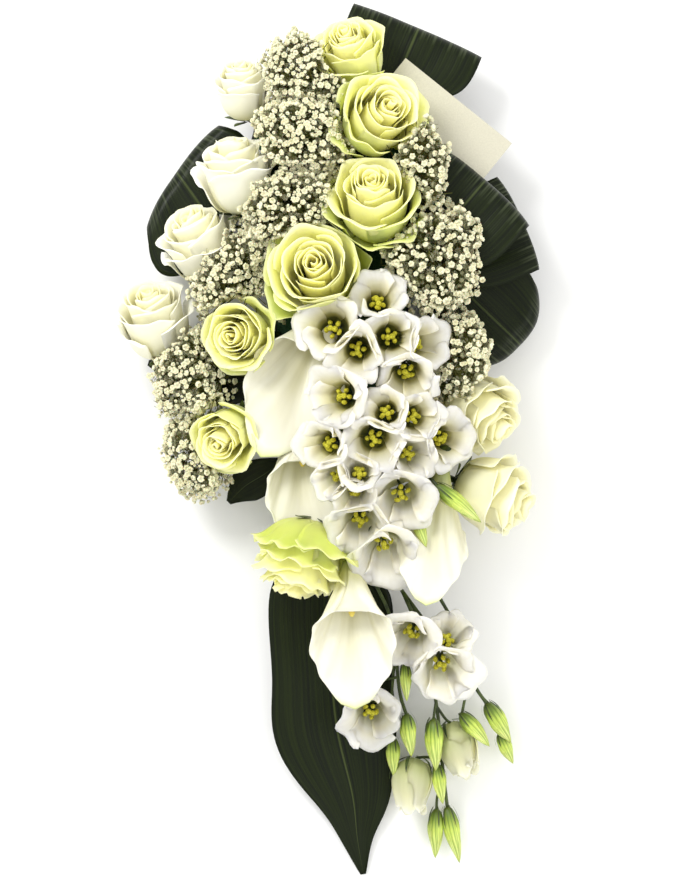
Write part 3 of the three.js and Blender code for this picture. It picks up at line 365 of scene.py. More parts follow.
def catmull_rom(t, a, b, c, d):
    """A point between b and c on a smooth curve through all four."""
    square = (2 * a - 5 * b + 4 * c - d) * t * t
    return 0.5 * (2 * b + (c - a) * t + square + (3 * b - a - 3 * c + d) * t ** 3)


def standing(base, bloom, turn=0.0):
    """The turn and lean of a bloom that stands on its base."""
    matrix = Matrix.Rotation(bloom.toward * DEGREE, 4, "Z") @ Matrix.Rotation(bloom.tilt * DEGREE, 4, "Y")
    return Matrix.Translation(base) @ matrix @ Matrix.Rotation(turn * DEGREE, 4, "Z")


def facing(bloom):
    toward, tilt = bloom.toward * DEGREE, bloom.tilt * DEGREE
    return Vector((math.sin(tilt) * math.cos(toward), math.sin(tilt) * math.sin(toward), math.cos(tilt)))


def placed(matrix, points):
    """Points moved by a matrix."""
    turn = np.array(matrix.to_3x3())
    return points @ turn.T + np.array(matrix.translation)


def foot_under(point, chosen=None):
    """The stem's end in the foam under a point, in millimetres."""
    y = min(max(point[1], TAIL_Y), HEAD_Y)
    share = (y - TAIL_Y) / (HEAD_Y - TAIL_Y)
    reach = TAIL_RADIUS + (HEAD_RADIUS - TAIL_RADIUS) * share - FOOT_MARGIN
    out = Vector((point[0], point[1] - y))
    z = SIDE_FOOT_Z if out.length > reach + FOOT_MARGIN - 4 else FOOT_Z
    if chosen:
        return (*chosen, z)
    distance = max(min(out.length * 0.8, reach), 0.01)
    way = out.normalized() * distance
    return (way.x, y + way.y, z)


class Growth:
    """Points, faces and petal coordinates of one piece, gathered sheet by sheet."""

    def __init__(self):
        self.points, self.uvs, self.layers = [], [], []
        self.faces, self.slots = [], []
        self.count = 0

    def add(self, points, faces, uvs=None, layer=0.0, slot=0):
        points = np.asarray(points, float).reshape(-1, 3)
        self.points.append(points)
        self.uvs.append(np.zeros((len(points), 2)) if uvs is None else np.asarray(uvs, float))
        self.layers.append(np.broadcast_to(np.asarray(layer, float), (len(points),)))
        self.faces.extend([[i + self.count for i in face] for face in faces])
        self.slots.extend([slot] * len(faces))
        self.count += len(points)

    def piece(self, name, materials, node=None, record_slot=None, thickness=None, smooth=True):
        """The gathered faces as a piece that rides on the body and takes its node's place."""
        mesh = bpy.data.meshes.new(name)
        mesh.from_pydata(np.concatenate(self.points).tolist(), [], self.faces)
        mesh.polygons.foreach_set("material_index", self.slots)
        mesh.polygons.foreach_set("use_smooth", [smooth] * len(self.faces))
        corners = np.empty(len(mesh.loops), int)
        mesh.loops.foreach_get("vertex_index", corners)
        uvs = np.concatenate(self.uvs)[corners]
        mesh.uv_layers.new(name="petal").data.foreach_set("uv", uvs.ravel())
        layers = mesh.attributes.new("layer", "FLOAT", "POINT")
        layers.data.foreach_set("value", np.concatenate(self.layers).astype(np.float32))
        for material in materials:
            mesh.materials.append(material)
        mesh.update()
        piece = bpy.data.objects.new(name, mesh)
        bpy.context.scene.collection.objects.link(piece)
        if thickness:
            wall = piece.modifiers.new("Thickness", "SOLIDIFY")
            wall.thickness = thickness
            wall.offset = 0
        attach(piece, "root")
        if node:
            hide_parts(node)
        return piece


def grid(point_at, size):
    """A sheet of quads over u and v from 0 to 1, with its points' u and v."""
    columns, rows = size
    u, v = np.meshgrid(np.linspace(0, 1, columns + 1), np.linspace(0, 1, rows + 1))
    points = point_at(u, v).reshape(-1, 3)
    wide = columns + 1
    corners = [row * wide + column for row in range(rows) for column in range(columns)]
    faces = [(corner, corner + 1, corner + wide + 1, corner + wide) for corner in corners]
    return points, faces, np.stack([u.ravel(), v.ravel()], axis=1)


def turned(profile, sides):
    """A closed body of revolution about Z from radius and height pairs that start and end on the axis."""
    rings = profile[1:-1]
    angles = np.linspace(0, 2 * math.pi, sides, endpoint=False)
    points = [(0, 0, profile[0][1]), (0, 0, profile[-1][1])]
    for radius, height in rings:
        points.extend((radius * math.cos(a), radius * math.sin(a), height) for a in angles)
    return np.array(points, float), ring_faces(sides, len(rings))


def ring_faces(sides, rings):
    """Faces of stacked rings between a bottom point 0 and a top point 1."""
    faces = []
    for i in range(sides):
        j = (i + 1) % sides
        faces.append((0, 2 + j, 2 + i))
        for ring in range(rings - 1):
            low, high = 2 + ring * sides, 2 + (ring + 1) * sides
            faces.append((low + i, low + j, high + j, high + i))
        last = 2 + (rings - 1) * sides
        faces.append((1, last + i, last + j))
    return faces


def smooth_path(points, steps=8):
    """Points in millimetres as a Catmull-Rom path in metres."""
    if len(points) < 3:
        return [vec(p) for p in points]
    knots = [Vector(p) for p in points]
    knots = [knots[0] * 2 - knots[1], *knots, knots[-1] * 2 - knots[-2]]
    path = []
    for a, b, c, d in zip(knots, knots[1:], knots[2:], knots[3:]):
        for step in range(steps):
            path.append(catmull_rom(step / steps, a, b, c, d) * MM)
    path.append(knots[-2] * MM)
    return path


def share_of(path, share):
    place = share * (len(path) - 1)
    low = min(int(place), len(path) - 2)
    return path[low].lerp(path[low + 1], place - low)


def painted(colour):
    """A hex colour or a linear one as linear red, green, blue and full cover."""
    return (*(linear(colour) if isinstance(colour, str) else colour), 1)


def add(tree, kind, given):
    """A node with its settings and links, each by a name or a socket's number; "stops" are a ramp's colours.

    A socket is linked, and so is a node, by its mixed colour or else by its first output.
    """
    node = tree.nodes.new(kind)
    for key, value in given.items():
        if isinstance(value, bpy.types.Node):
            value = value.outputs[MIXED if value.bl_idname == MIX else 0]
        if key == "stops":
            for place, _ in value[1:-1]:
                node.color_ramp.elements.new(place)
            for element, (place, colour) in zip(node.color_ramp.elements, value):
                element.position = place
                element.color = painted(colour)
        elif isinstance(value, bpy.types.NodeSocket):
            tree.links.new(value, node.inputs[key])
        elif not isinstance(key, int) and key not in node.inputs:
            setattr(node, key, value)
        elif node.inputs[key].type == "RGBA":
            node.inputs[key].default_value = painted(value)
        else:
            node.inputs[key].default_value = value
    return node


def new_material(name, values):
    """A material and its nodes, whose uniform values stand on the shader's own sockets."""
    material = bpy.data.materials.new(name)
    material.use_nodes = True
    shader = material.node_tree.nodes["Principled BSDF"]
    for key, value in values.items():
        shader.inputs[key].default_value = value
    return material, material.node_tree


def surfaced(material, colour, relief=None, strength=0.0, depth=0.0):
    """The material with the node that colours it and, where one is given, the node of its fine relief."""
    tree = material.node_tree
    shader = tree.nodes["Principled BSDF"]
    tree.links.new(colour.outputs[MIXED if colour.bl_idname == MIX else 0], shader.inputs["Base Color"])
    if relief:
        bump = add(tree, "ShaderNodeBump", {"Strength": strength, "Distance": depth, "Height": relief})
        tree.links.new(bump.outputs["Normal"], shader.inputs["Normal"])
    return material


def petal_coordinates(tree):
    """A petal's own coordinates, the share across it, the share from its foot to its lip, and its layer."""
    uv = add(tree, "ShaderNodeUVMap", {"uv_map": "petal"})
    split = add(tree, "ShaderNodeSeparateXYZ", {"Vector": uv})
    layer = add(tree, "ShaderNodeAttribute", {"attribute_name": "layer"})
    return uv, split.outputs["X"], split.outputs["Y"], layer.outputs["Fac"]


def fine_veins(tree, uv, across, along):
    """Veins that run from a petal's foot to its lip."""
    stretched = add(tree, "ShaderNodeMapping", {"Scale": (across, along, 1), "Vector": uv})
    return add(tree, NOISE, {"Scale": 1.0, "Detail": 3.0, "Vector": stretched})


def grain(tree, kind, size, detail):
    """A pattern of the given size on the object's own coordinates."""
    place = add(tree, "ShaderNodeTexCoord", {}).outputs["Object"]
    return add(tree, kind, {"Scale": 1 / size, "Detail": detail, "Vector": place})


def grainy(name, values, pattern, stops, strength=0.0, depth=0.0):
    """A material whose colours and relief follow one pattern, given by its kind, size and detail."""
    material, tree = new_material(name, values)
    texture = grain(tree, *pattern)
    colour = add(tree, RAMP, {"Fac": texture, "stops": stops})
    return surfaced(material, colour, texture if strength else None, strength, depth)


# Rose petal: matt velvety skin, translucent, cream towards the foot, partly its own colour and partly painted
# shade, and palest at the lip, a faint painted highlight
def white_rose_petal(tint):
    s = settings()
    material, tree = new_material("white_rose_petal", {
        "Roughness": 0.55, "Subsurface Weight": 0.45, "Subsurface Radius": (0.95, 0.9, 0.7),
        "Subsurface Scale": 6 * MM, "Specular IOR Level": 0.3, "Sheen Weight": 0.1})
    uv, _, along, layer = petal_coordinates(tree)
    # Darker cream towards the foot, partly painted shade; palest at the lip, a faint painted highlight
    body = add(tree, RAMP, {"Fac": along, "stops": [
        (0.05, s.white_rose_shaded_foot), (0.4, "#f7f4cf"), (0.75, s.white_rose), (1.0, "#fcfbf0")]})
    heart = add(tree, MIX, {"data_type": "RGBA", FACTOR: layer, FIRST: tint, SECOND: "#fbf6b8"})
    colour = add(tree, MIX, {
        "data_type": "RGBA", "blend_type": "MULTIPLY", FACTOR: 0.9, FIRST: body, SECOND: heart})
    return surfaced(material, colour, fine_veins(tree, uv, 46, 2), 0.25, 0.4 * MM)


# Lime rose petal: yellow heart, greener towards the outside; greener and darker towards the foot, partly its
# own green and partly painted shade; paler along the lip as a painted highlight
def lime_rose_petal():
    s = settings()
    material, tree = new_material("lime_rose_petal", {
        "Roughness": 0.5, "Subsurface Weight": 0.45, "Subsurface Radius": (0.95, 0.95, 0.4),
        "Subsurface Scale": 6 * MM, "Specular IOR Level": 0.3, "Sheen Weight": 0.1})
    uv, _, along, layer = petal_coordinates(tree)
    body = add(tree, RAMP, {"Fac": layer, "stops": [
        (0.0, s.lime_rose_outer), (0.08, "#dfe97e"), (0.22, "#fbfaa0"), (0.55, "#fffcaa"),
        (1.0, s.lime_rose)]})
    # Greener and darker towards the foot: the petal's own green and painted shade
    low = add(tree, RAMP, {"Fac": along, "stops": [(0.1, "#c0c0c0"), (0.6, "#000000")]})
    foot = add(tree, MIX, {"data_type": "RGBA", FACTOR: low, FIRST: body, SECOND: "#e8ec84"})
    # Paler along the lip: painted highlight
    high = add(tree, RAMP, {"Fac": along, "stops": [(0.84, "#000000"), (1.0, "#b0b0b0")]})
    lip = add(tree, MIX, {"data_type": "RGBA", FACTOR: high, FIRST: foot, SECOND: "#fbf9bc"})
    patches = grain(tree, NOISE, 14 * MM, 2.0).outputs["Color"]
    colour = add(tree, MIX, {
        "data_type": "RGBA", "blend_type": "SOFT_LIGHT", FACTOR: 0.12, FIRST: lip, SECOND: patches})
    return surfaced(material, colour, fine_veins(tree, uv, 46, 2), 0.25, 0.4 * MM)


# Lisianthus petal: thin and satin, with an olive throat, darkened with painted shade, that the layer value
# makes pale; creamier half open; painted shade along its creases
@cache
def lisianthus_petal():
    s = settings()
    material, tree = new_material("lisianthus_petal", {
        "Roughness": 0.5, "Subsurface Weight": 0.6, "Subsurface Radius": (1.0, 0.95, 0.66),
        "Subsurface Scale": 8 * MM, "Specular IOR Level": 0.3, "Sheen Weight": 0.1})
    uv, _, along, layer = petal_coordinates(tree)
    # Olive throat, its own green darkened towards the foot with painted shade
    olive_and_shade = add(tree, RAMP, {"Fac": along, "stops": [
        (0.06, "#1f260b"), (0.2, "#4a4c18"), (0.3, "#b0a65a"), (0.4, "#efe7b0"), (0.56, "#f4eec6"),
        (0.78, s.lisianthus), (1.0, "#f5f1e0")]})
    # Paler throat, with less painted shade towards the foot
    pale = add(tree, RAMP, {"Fac": along, "stops": [
        (0.06, "#8f9148"), (0.18, "#cdc98c"), (0.32, "#e6e2bc"), (0.46, "#efebd6"), (0.6, "#f4eed0"),
        (0.8, s.lisianthus), (1.0, "#f4f0e0")]})
    half_open = add(tree, RAMP, {"Fac": along, "stops": [
        (0.0, "#8fa046"), (0.3, "#cbd183"), (0.65, "#e3e0a4"), (1.0, "#ebe8c4")]})
    paler = add(tree, RAMP, {"Fac": layer, "stops": [(SHADED_OLIVE_THROAT, "#000000"), (PALE_THROAT, "#ffffff")]})
    open_petal = add(tree, MIX, {"data_type": "RGBA", FACTOR: paler, FIRST: olive_and_shade, SECOND: pale})
    closed = add(tree, RAMP, {"Fac": layer, "stops": [(PALE_THROAT, "#000000"), (HALF_OPEN, "#ffffff")]})
    petal = add(tree, MIX, {"data_type": "RGBA", FACTOR: closed, FIRST: open_petal, SECOND: half_open})
    # Painted shade along the creases
    folds = fine_veins(tree, uv, 4, 0.8)
    painted_crease_shade = add(tree, RAMP, {"Fac": folds, "stops": [(0.36, "#e0dac4"), (0.56, "#ffffff")]})
    colour = add(tree, MIX, {
        "data_type": "RGBA", "blend_type": "MULTIPLY", FACTOR: 0.25, FIRST: petal, SECOND: painted_crease_shade})
    return surfaced(material, colour, fine_veins(tree, uv, 34, 1.5), 0.3, 0.4 * MM)


# Calla spathe: thick, waxy and smooth, green where it leaves the stem and at its very tip, with painted shade
# along its soft folds
def calla_spathe():
    s = settings()
    material, tree = new_material("calla_spathe", {
        "Roughness": 0.38, "Subsurface Weight": 0.2, "Subsurface Radius": (0.9, 0.9, 0.6),
        "Subsurface Scale": 4 * MM, "Coat Weight": 0.12, "Coat Roughness": 0.35})
    uv, _, along, layer = petal_coordinates(tree)
    body = add(tree, RAMP, {"Fac": along, "stops": [
        (0.0, "#8e9a52"), (0.18, "#c9c692"), (0.36, "#d9d6b8"), (0.6, s.calla), (1.0, "#e6e4d4")]})
    tipped = add(tree, MIX, {"data_type": "RGBA", FACTOR: layer, FIRST: body, SECOND: "#cfd98a"})
    # Painted shade along the soft folds
    folds = fine_veins(tree, uv, 9, 0.8)
    shade = add(tree, RAMP, {"Fac": folds, "stops": [(0.38, "#d2cfb8"), (0.58, "#ffffff")]})
    colour = add(tree, MIX, {
        "data_type": "RGBA", "blend_type": "MULTIPLY", FACTOR: 0.45, FIRST: tipped, SECOND: shade})
    return surfaced(material, colour, fine_veins(tree, uv, 60, 1.5), 0.18, 0.5 * MM)


# Spadix: a rod of tiny grains covered in pollen
def calla_spadix():
    values = {"Roughness": 0.85, "Specular IOR Level": 0.25}
    return grainy("calla_spadix", values, (ROUND_CELLS, 0.9 * MM, 0.0),
                  [(0.0, settings().spadix), (0.7, "#e3cd62")], 0.8, 0.5 * MM)


# Pollen and stigma: yellow grains over a green body
@cache
def lisianthus_stamen():
    return grainy("lisianthus_stamen", {"Roughness": 0.8, "Specular IOR Level": 0.3}, (NOISE, 1.2 * MM, 2.0),
                  [(0.35, "#8f8b1d"), (0.6, "#c3be3a")], 0.5, 0.3 * MM)


# Green stems and sepals: smooth skin with a faint bloom
@cache
def green_stem():
    return grainy("green_stem", {"Roughness": 0.5, "Specular IOR Level": 0.4}, (NOISE, 6 * MM, 2.0),
                  [(0.3, "#2a3517"), (0.7, settings().stem)], 0.2, 0.4 * MM)


# Bud skin: petals wrapped tight, yellow-green with paler ridges
def lisianthus_bud():
    material, tree = new_material("lisianthus_bud", {
        "Roughness": 0.42, "Subsurface Weight": 0.1, "Subsurface Scale": 2 * MM})
    uv, _, along, _ = petal_coordinates(tree)
    body = add(tree, RAMP, {"Fac": along, "stops": [
        (0.0, "#3f4d14"), (0.2, "#8ea63c"), (0.42, settings().bud), (0.8, "#dbe58c"), (1.0, "#b7c65a")]})
    veins = fine_veins(tree, uv, 26, 2)
    streaks = add(tree, RAMP, {"Fac": veins, "stops": [(0.38, "#7f9a3a"), (0.6, "#ffffff")]})
    colour = add(tree, MIX, {
        "data_type": "RGBA", "blend_type": "MULTIPLY", FACTOR: 0.75, FIRST: body, SECOND: streaks})
    return surfaced(material, colour, veins, 0.3, 0.5 * MM)


# Aspidistra: leathery and glossy, near black, with parallel veins drawn 1.7 mm apart so that they show. The
# layer value is 1 on a folded leaf, whose ribs get a painted highlight where it turns over.
def aspidistra_leaf():
    material, tree = new_material("aspidistra_leaf", {
        "Roughness": 0.38, "Specular IOR Level": 0.1, "Coat Weight": 0.05, "Coat Roughness": 0.2})
    uv, across, along, layer = petal_coordinates(tree)
    streaks = fine_veins(tree, uv, 42, 1.2)
    vein = add(tree, "ShaderNodeTexWave", {"Scale": 18.0, "Distortion": 0.6, "Detail": 1.0, "Vector": uv})
    body = add(tree, RAMP, {"Fac": streaks, "stops": [(0.35, settings().leaf), (0.62, "#1b230a")]})
    from_middle = add(tree, "ShaderNodeMath", {"operation": "SUBTRACT", 0: across, 1: 0.5})
    distance = add(tree, "ShaderNodeMath", {"operation": "ABSOLUTE", 0: from_middle})
    midrib = add(tree, RAMP, {"Fac": distance, "stops": [(0.004, "#ffffff"), (0.012, "#000000")]})
    ribbed = add(tree, MIX, {"data_type": "RGBA", FACTOR: midrib, FIRST: body, SECOND: "#3a4322"})
    # Painted highlight on the ribs where a folded leaf turns over
    fold = add(tree, RAMP, {"Fac": along, "stops": [(0.34, "#000000"), (0.46, "#ffffff"), (0.6, "#000000")]})
    ribs = add(tree, RAMP, {"Fac": streaks, "stops": [(0.5, "#000000"), (0.62, "#ffffff")]})
    painted_rib_highlight = add(tree, MIX, {
        "data_type": "RGBA", "blend_type": "MULTIPLY", FACTOR: 1.0, FIRST: fold, SECOND: ribs})
    painted_highlight_share = add(tree, MIX, {"data_type": "RGBA", FACTOR: layer, FIRST: "#000000", SECOND: painted_rib_highlight})
    colour = add(tree, MIX, {"data_type": "RGBA", FACTOR: painted_highlight_share, FIRST: ribbed, SECOND: "#4c5240"})
    relief = add(tree, "ShaderNodeMath", {
        "operation": "MULTIPLY_ADD", 0: vein.outputs["Fac"], 1: 0.5, 2: streaks})
    return surfaced(material, colour, relief, 0.45, 0.5 * MM)


# Gypsophila: papery white florets on green cups, threads and needles, told apart by the layer value, which
# also darkens the inner and skirt florets towards olive as painted shade
def gypsophila_floret():
    s = settings()
    material, tree = new_material("gypsophila_floret", {
        "Roughness": 0.75, "Subsurface Weight": 0.1, "Subsurface Scale": 1 * MM, "Specular IOR Level": 0.25})
    layer = petal_coordinates(tree)[-1]
    patches = grain(tree, NOISE, 7 * MM, 2.0)
    white = add(tree, RAMP, {"Fac": patches, "stops": [(0.3, "#d3cfa8"), (0.55, s.floret)]})
    return surfaced(material, add(tree, MIX, {
        "data_type": "RGBA", FACTOR: layer, FIRST: white, SECOND: s.sprig}))


# Tray: injection-moulded black polypropylene with a fine matt grain
def tray_plastic():
    return grainy("tray_plastic", {"Roughness": 0.45, "IOR": 1.49}, (NOISE, 0.8 * MM, 3.0),
                  [(0.3, "#151816"), (0.7, "#222623")], 0.15, 0.2 * MM)


# Floral foam: phenolic foam, dark with water, with open cells drawn 1.4 mm wide so that they show
def wet_foam():
    return grainy("wet_foam", {"Roughness": 0.95, "Specular IOR Level": 0.2}, (ROUND_CELLS, 1.4 * MM, 0.0),
                  [(0.0, "#16291a"), (0.6, "#29472b")], 0.6, 0.6 * MM)


# Card: uncoated off-white board with faint fibres
def card_board():
    return grainy("card_board", {"Roughness": 0.6, "Specular IOR Level": 0.3}, (NOISE, 1.1 * MM, 4.0),
                  [(0.3, "#bdb9a6"), (0.7, "#c7c3b0")], 0.08, 0.1 * MM)


# Card pick: clear moulded polystyrene with faint flow marks
def clear_polystyrene():
    values = {"Roughness": 0.12, "IOR": 1.59, "Transmission Weight": 0.85}
    return grainy("clear_polystyrene", values, (NOISE, 5 * MM, 2.0),
                  [(0.3, "#e6ecec"), (0.7, "#f7fafa")], 0.05, 0.2 * MM)


# Floor: pale matt paper
def pale_floor():
    return grainy("pale_floor", {"Roughness": 0.9, "Specular IOR Level": 0.2}, (NOISE, 400 * MM, 2.0),
                  [(0.3, "#f2f2f0"), (0.7, "#f5f5f4")])


def node_group(name, inputs):
    """A Geometry Nodes tree with named inputs, the sockets they give and the socket of its result."""
    tree = bpy.data.node_groups.new(name, "GeometryNodeTree")
    tree.interface.new_socket("Geometry", in_out="INPUT", socket_type="NodeSocketGeometry")
    tree.interface.new_socket("Geometry", in_out="OUTPUT", socket_type="NodeSocketGeometry")
    for label, kind in inputs:
        tree.interface.new_socket(label, in_out="INPUT", socket_type=kind)
    given = tree.nodes.new("NodeGroupInput").outputs
    result = tree.nodes.new("NodeGroupOutput").inputs["Geometry"]
    return tree, given, result


def grown(base, tree, values):
    """The mesh that a Geometry Nodes tree makes of a temporary object, which is then removed."""
    bpy.context.scene.collection.objects.link(base)
    modifier = base.modifiers.new("Growth", "NODES")
    modifier.node_group = tree
    for item in tree.interface.items_tree:
        if item.in_out == "INPUT" and item.name in values:
            modifier[item.identifier] = values[item.name]
    graph = bpy.context.evaluated_depsgraph_get()
    mesh = bpy.data.meshes.new_from_object(base.evaluated_get(graph), depsgraph=graph)
    base.modifiers.clear()
    bpy.data.objects.remove(base)
    return mesh


def mesh_parts(mesh):
    """A mesh's points and faces, and the layer value of each point."""
    points = np.empty(len(mesh.vertices) * 3)
    mesh.vertices.foreach_get("co", points)
    faces = [tuple(face.vertices) for face in mesh.polygons]
    layer = np.zeros(len(mesh.vertices), np.float32)
    if "layer" in mesh.attributes:
        mesh.attributes["layer"].data.foreach_get("value", layer)
    bpy.data.meshes.remove(mesh)
    return points.reshape(-1, 3), faces, layer


def stem_tree():
    """Round stems along the paths of a curve."""
    name = "Round stem"
    if name in bpy.data.node_groups:
        return bpy.data.node_groups[name]
    tree, given, result = node_group(name, (
        ("Radius", "NodeSocketFloat"), ("Sides", "NodeSocketInt"), ("Material", "NodeSocketMaterial")))
    circle = add(tree, "GeometryNodeCurvePrimitiveCircle", {
        "Resolution": given["Sides"], "Radius": given["Radius"]})
    skin = add(tree, "GeometryNodeCurveToMesh", {
        "Curve": given["Geometry"], "Profile Curve": circle, "Fill Caps": True})
    real = add(tree, "GeometryNodeRealizeInstances", {"Geometry": skin})
    coloured = add(tree, "GeometryNodeSetMaterial", {"Geometry": real, "Material": given["Material"]})
    tree.links.new(coloured.outputs["Geometry"], result)
    return tree


def stems(paths, radius, material, sides=7):
    """Round stems along paths in metres, as points and faces."""
    curve = bpy.data.curves.new("stem_paths", "CURVE")
    curve.dimensions = "3D"
    for path in paths:
        line = curve.splines.new("POLY")
        line.points.add(len(path) - 1)
        for point, place in zip(line.points, path):
            point.co = (*place, 1)
    base = bpy.data.objects.new("stem_paths", curve)
    mesh = grown(base, stem_tree(), {"Radius": radius * MM, "Sides": sides, "Material": material})
    bpy.data.curves.remove(curve)
    points, faces, _ = mesh_parts(mesh)
    return points, faces


Head = namedtuple("Head", "middle reach")


def all_heads():
    """The middle and reach of every rose and bell, by which crowded blooms press on each other."""
    heads = {}
    for rose in (*WHITE_ROSES, *LIME_ROSES):
        heads[rose.name] = Head(vec(rose.at), rose.radius * ROSE_REACH * MM)
    for spray in LISIANTHUS_SPRAYS:
        for number, bloom in enumerate(spray.heads):
            depth = bloom.radius * LISIANTHUS_DEPTH_RATIO
            middle = vec(bloom.at) - facing(bloom) * depth * 0.3 * MM
            heads[spray.name, number] = Head(middle, bloom.radius * BELL_REACH * MM)
    return heads


def pressed(points, own, heads, soft=3 * MM, lap=0.0):
    """Points of a bloom that give way softly halfway to each crowding neighbour, or a lap past that."""
    for other in heads.values():
        way = other.middle - own.middle
        gap = way.length
        if gap < 1e-6 or gap >= own.reach + other.reach:
            continue
        way = np.array(way / gap)
        plane = (gap + own.reach - other.reach) / 2 + lap
        beyond = (points - np.array(own.middle)) @ way - plane
        over = beyond > -soft
        kept = -soft * np.exp(-(beyond[over] + soft) / soft)
        points[over] += np.outer(kept - beyond[over], way)
    return points


def spline(share, values):
    """A smooth curve through equally spaced values, at shares from 0 to 1."""
    knots = np.array([2 * values[0] - values[1], *values, 2 * values[-1] - values[-2]])
    place = np.clip(share, 0, 1) * (len(values) - 1)
    low = np.minimum(place.astype(int), len(values) - 2)
    t = place - low
    a, b, c, d = (knots[low + step] for step in range(4))
    return catmull_rom(t, a, b, c, d)


def rose_petal(rose, age, turn, random, guard=False):
    """A rose petal, whose lip rolls out, most at its corners, so that it ends in a point."""
    shape = GUARD_SHAPE if guard else [float(spline(np.array(age), values)) for values in ROSE_SHAPES]
    half, belly, lip, top, roll_out = shape
    half *= DEGREE * random.uniform(0.9, 1.08)
    lip *= random.uniform(0.93, 1.07) * rose.flare
    top *= random.uniform(0.93, 1.05) * (1.15 - 0.15 * rose.flare)
    roll_out *= random.uniform(0.5, 1.6) * rose.flare
    wave = random.uniform(0.015, 0.04) * (1.2 - 0.6 * age) * rose.flare ** 4
    phase = random.uniform(0, 6)
    waves = random.uniform(1.6, 3.2) * rose.flare
    lean = random.uniform(-0.02, 0.03)
    curl_from = 0.64 + 0.2 * age
    tip_point = 0.11 * (1 - age)

    def point_at(u, v):
        side = 2 * u - 1
        grows = 0.2 + 0.8 * np.sin(math.pi / 2 * np.minimum(v / 0.55, 1))
        angle = turn * DEGREE + side * half * grows
        tip = v * (1 - 0.15 * np.abs(side) ** 2.6)
        reach = bezier(tip, 0.12, 1.2 * belly, 0.86 * belly, lip)
        height = bezier(tip, 0.0, 0.06, 0.78, 1.0) * top * ROSE_HEIGHT_RATIO
        roll = roll_out * np.clip((tip - curl_from) / (1 - curl_from), 0, 1) ** 2
        point = tip_point * np.exp(-(side / 0.22) ** 2) * v ** 4
        reach = reach + roll * (0.25 + 0.55 * side ** 2) + 0.05 * side * (0.3 + 0.7 * v)
        reach = reach + lean * v ** 2 + point
        reach = reach + wave * np.sin(waves * math.pi * side + phase) * v ** 3
        height = height + 0.8 * wave * np.cos(waves * 1.3 * math.pi * side + phase) * v ** 3
        height = height - roll * (0.12 + 0.85 * side ** 2) - point * 0.4
        points = [reach * np.cos(angle), reach * np.sin(angle), height]
        return np.stack(points, axis=-1) * rose.radius * MM

    return point_at


def rose_head(growth, rose, matrix, head, heads, random):
    """All petals of a rose, each a golden angle on from the one outside it, within its wide guard petals."""
    for turn in rose.guards:
        points, faces, uvs = grid(rose_petal(rose, 0, turn, random, True), PETAL_GRID)
        growth.add(pressed(placed(matrix, points), head, heads), faces, uvs)
    for number in range(ROSE_PETALS):
        age = number / (ROSE_PETALS - 1)
        turn = rose.turn + number * GOLDEN_ANGLE + random.uniform(-13, 13)
        points, faces, uvs = grid(rose_petal(rose, age, turn, random), PETAL_GRID)
        growth.add(pressed(placed(matrix, points), head, heads), faces, uvs, 0.06 + 0.94 * age)


def sepal(width, reach_at, height_at):
    """A narrow pointed sepal that follows the given reach and height in millimetres up to its tip."""

    def point_at(u, v):
        side = (2 * u - 1) * width * np.sin(math.pi * (0.12 + 0.88 * v)) ** 0.8
        return np.stack([reach_at(v) + np.abs(side) * 0.15, side, height_at(v)], axis=-1) * MM

    return point_at


def sepals(growth, matrix, shape):
    """Five sepals of the given shape, in the green that is the second material of their piece."""
    for way in FIVE_WAYS:
        spin = Matrix.Rotation(way * DEGREE, 4, "Z")
        points, faces, uvs = grid(shape, SEPAL_GRID)
        growth.add(placed(matrix @ spin, points), faces, uvs, 0.5, 1)


class ARRANGEMENT_OT_roses(bpy.types.Operator):
    """Grow the white and lime roses"""

    bl_idname = "arrangement.roses"
    bl_label = "Roses"

    def execute(self, context):
        random = np.random.default_rng(settings().seed)
        heads = all_heads()
        white, cream, lime = white_rose_petal("#ffffff"), white_rose_petal("#fdfbd8"), lime_rose_petal()
        green = green_stem()
        for rose in (*WHITE_ROSES, *LIME_ROSES):
            size = rose.radius
            base = vec(rose.at) - facing(rose) * 0.5 * ROSE_HEIGHT_RATIO * size * MM
            matrix = standing(base, rose)
            growth = Growth()
            rose_head(growth, rose, matrix, heads[rose.name], heads, random)
            profile = [(0, -3), (0.12 * size, -1), (0.2 * size, 2), (0.16 * size, 6), (0, 7)]
            cup, faces = turned(profile, 12)
            growth.add(placed(matrix, cup * MM), faces, slot=1)
            sepals(growth, matrix, sepal(
                0.11 * size, lambda v: 2 + 0.75 * size * v ** 0.7,
                lambda v: (0.34 * v - 0.2 * v * v) * size - 3))
            path = [base, vec(foot_under(base / MM, rose.foot))]
            growth.add(*stems([path], ROSE_STEM, green), slot=1)
            skin, slot = lime, "lime_rose_petal"
            if rose in WHITE_ROSES:
                skin, slot = cream if rose.at[0] > 0 else white, "white_rose_petal"
            growth.piece(f"{rose.name}_bloom", [skin, green], rose.name, slot, settings().petal_thickness)
        return {"FINISHED"}


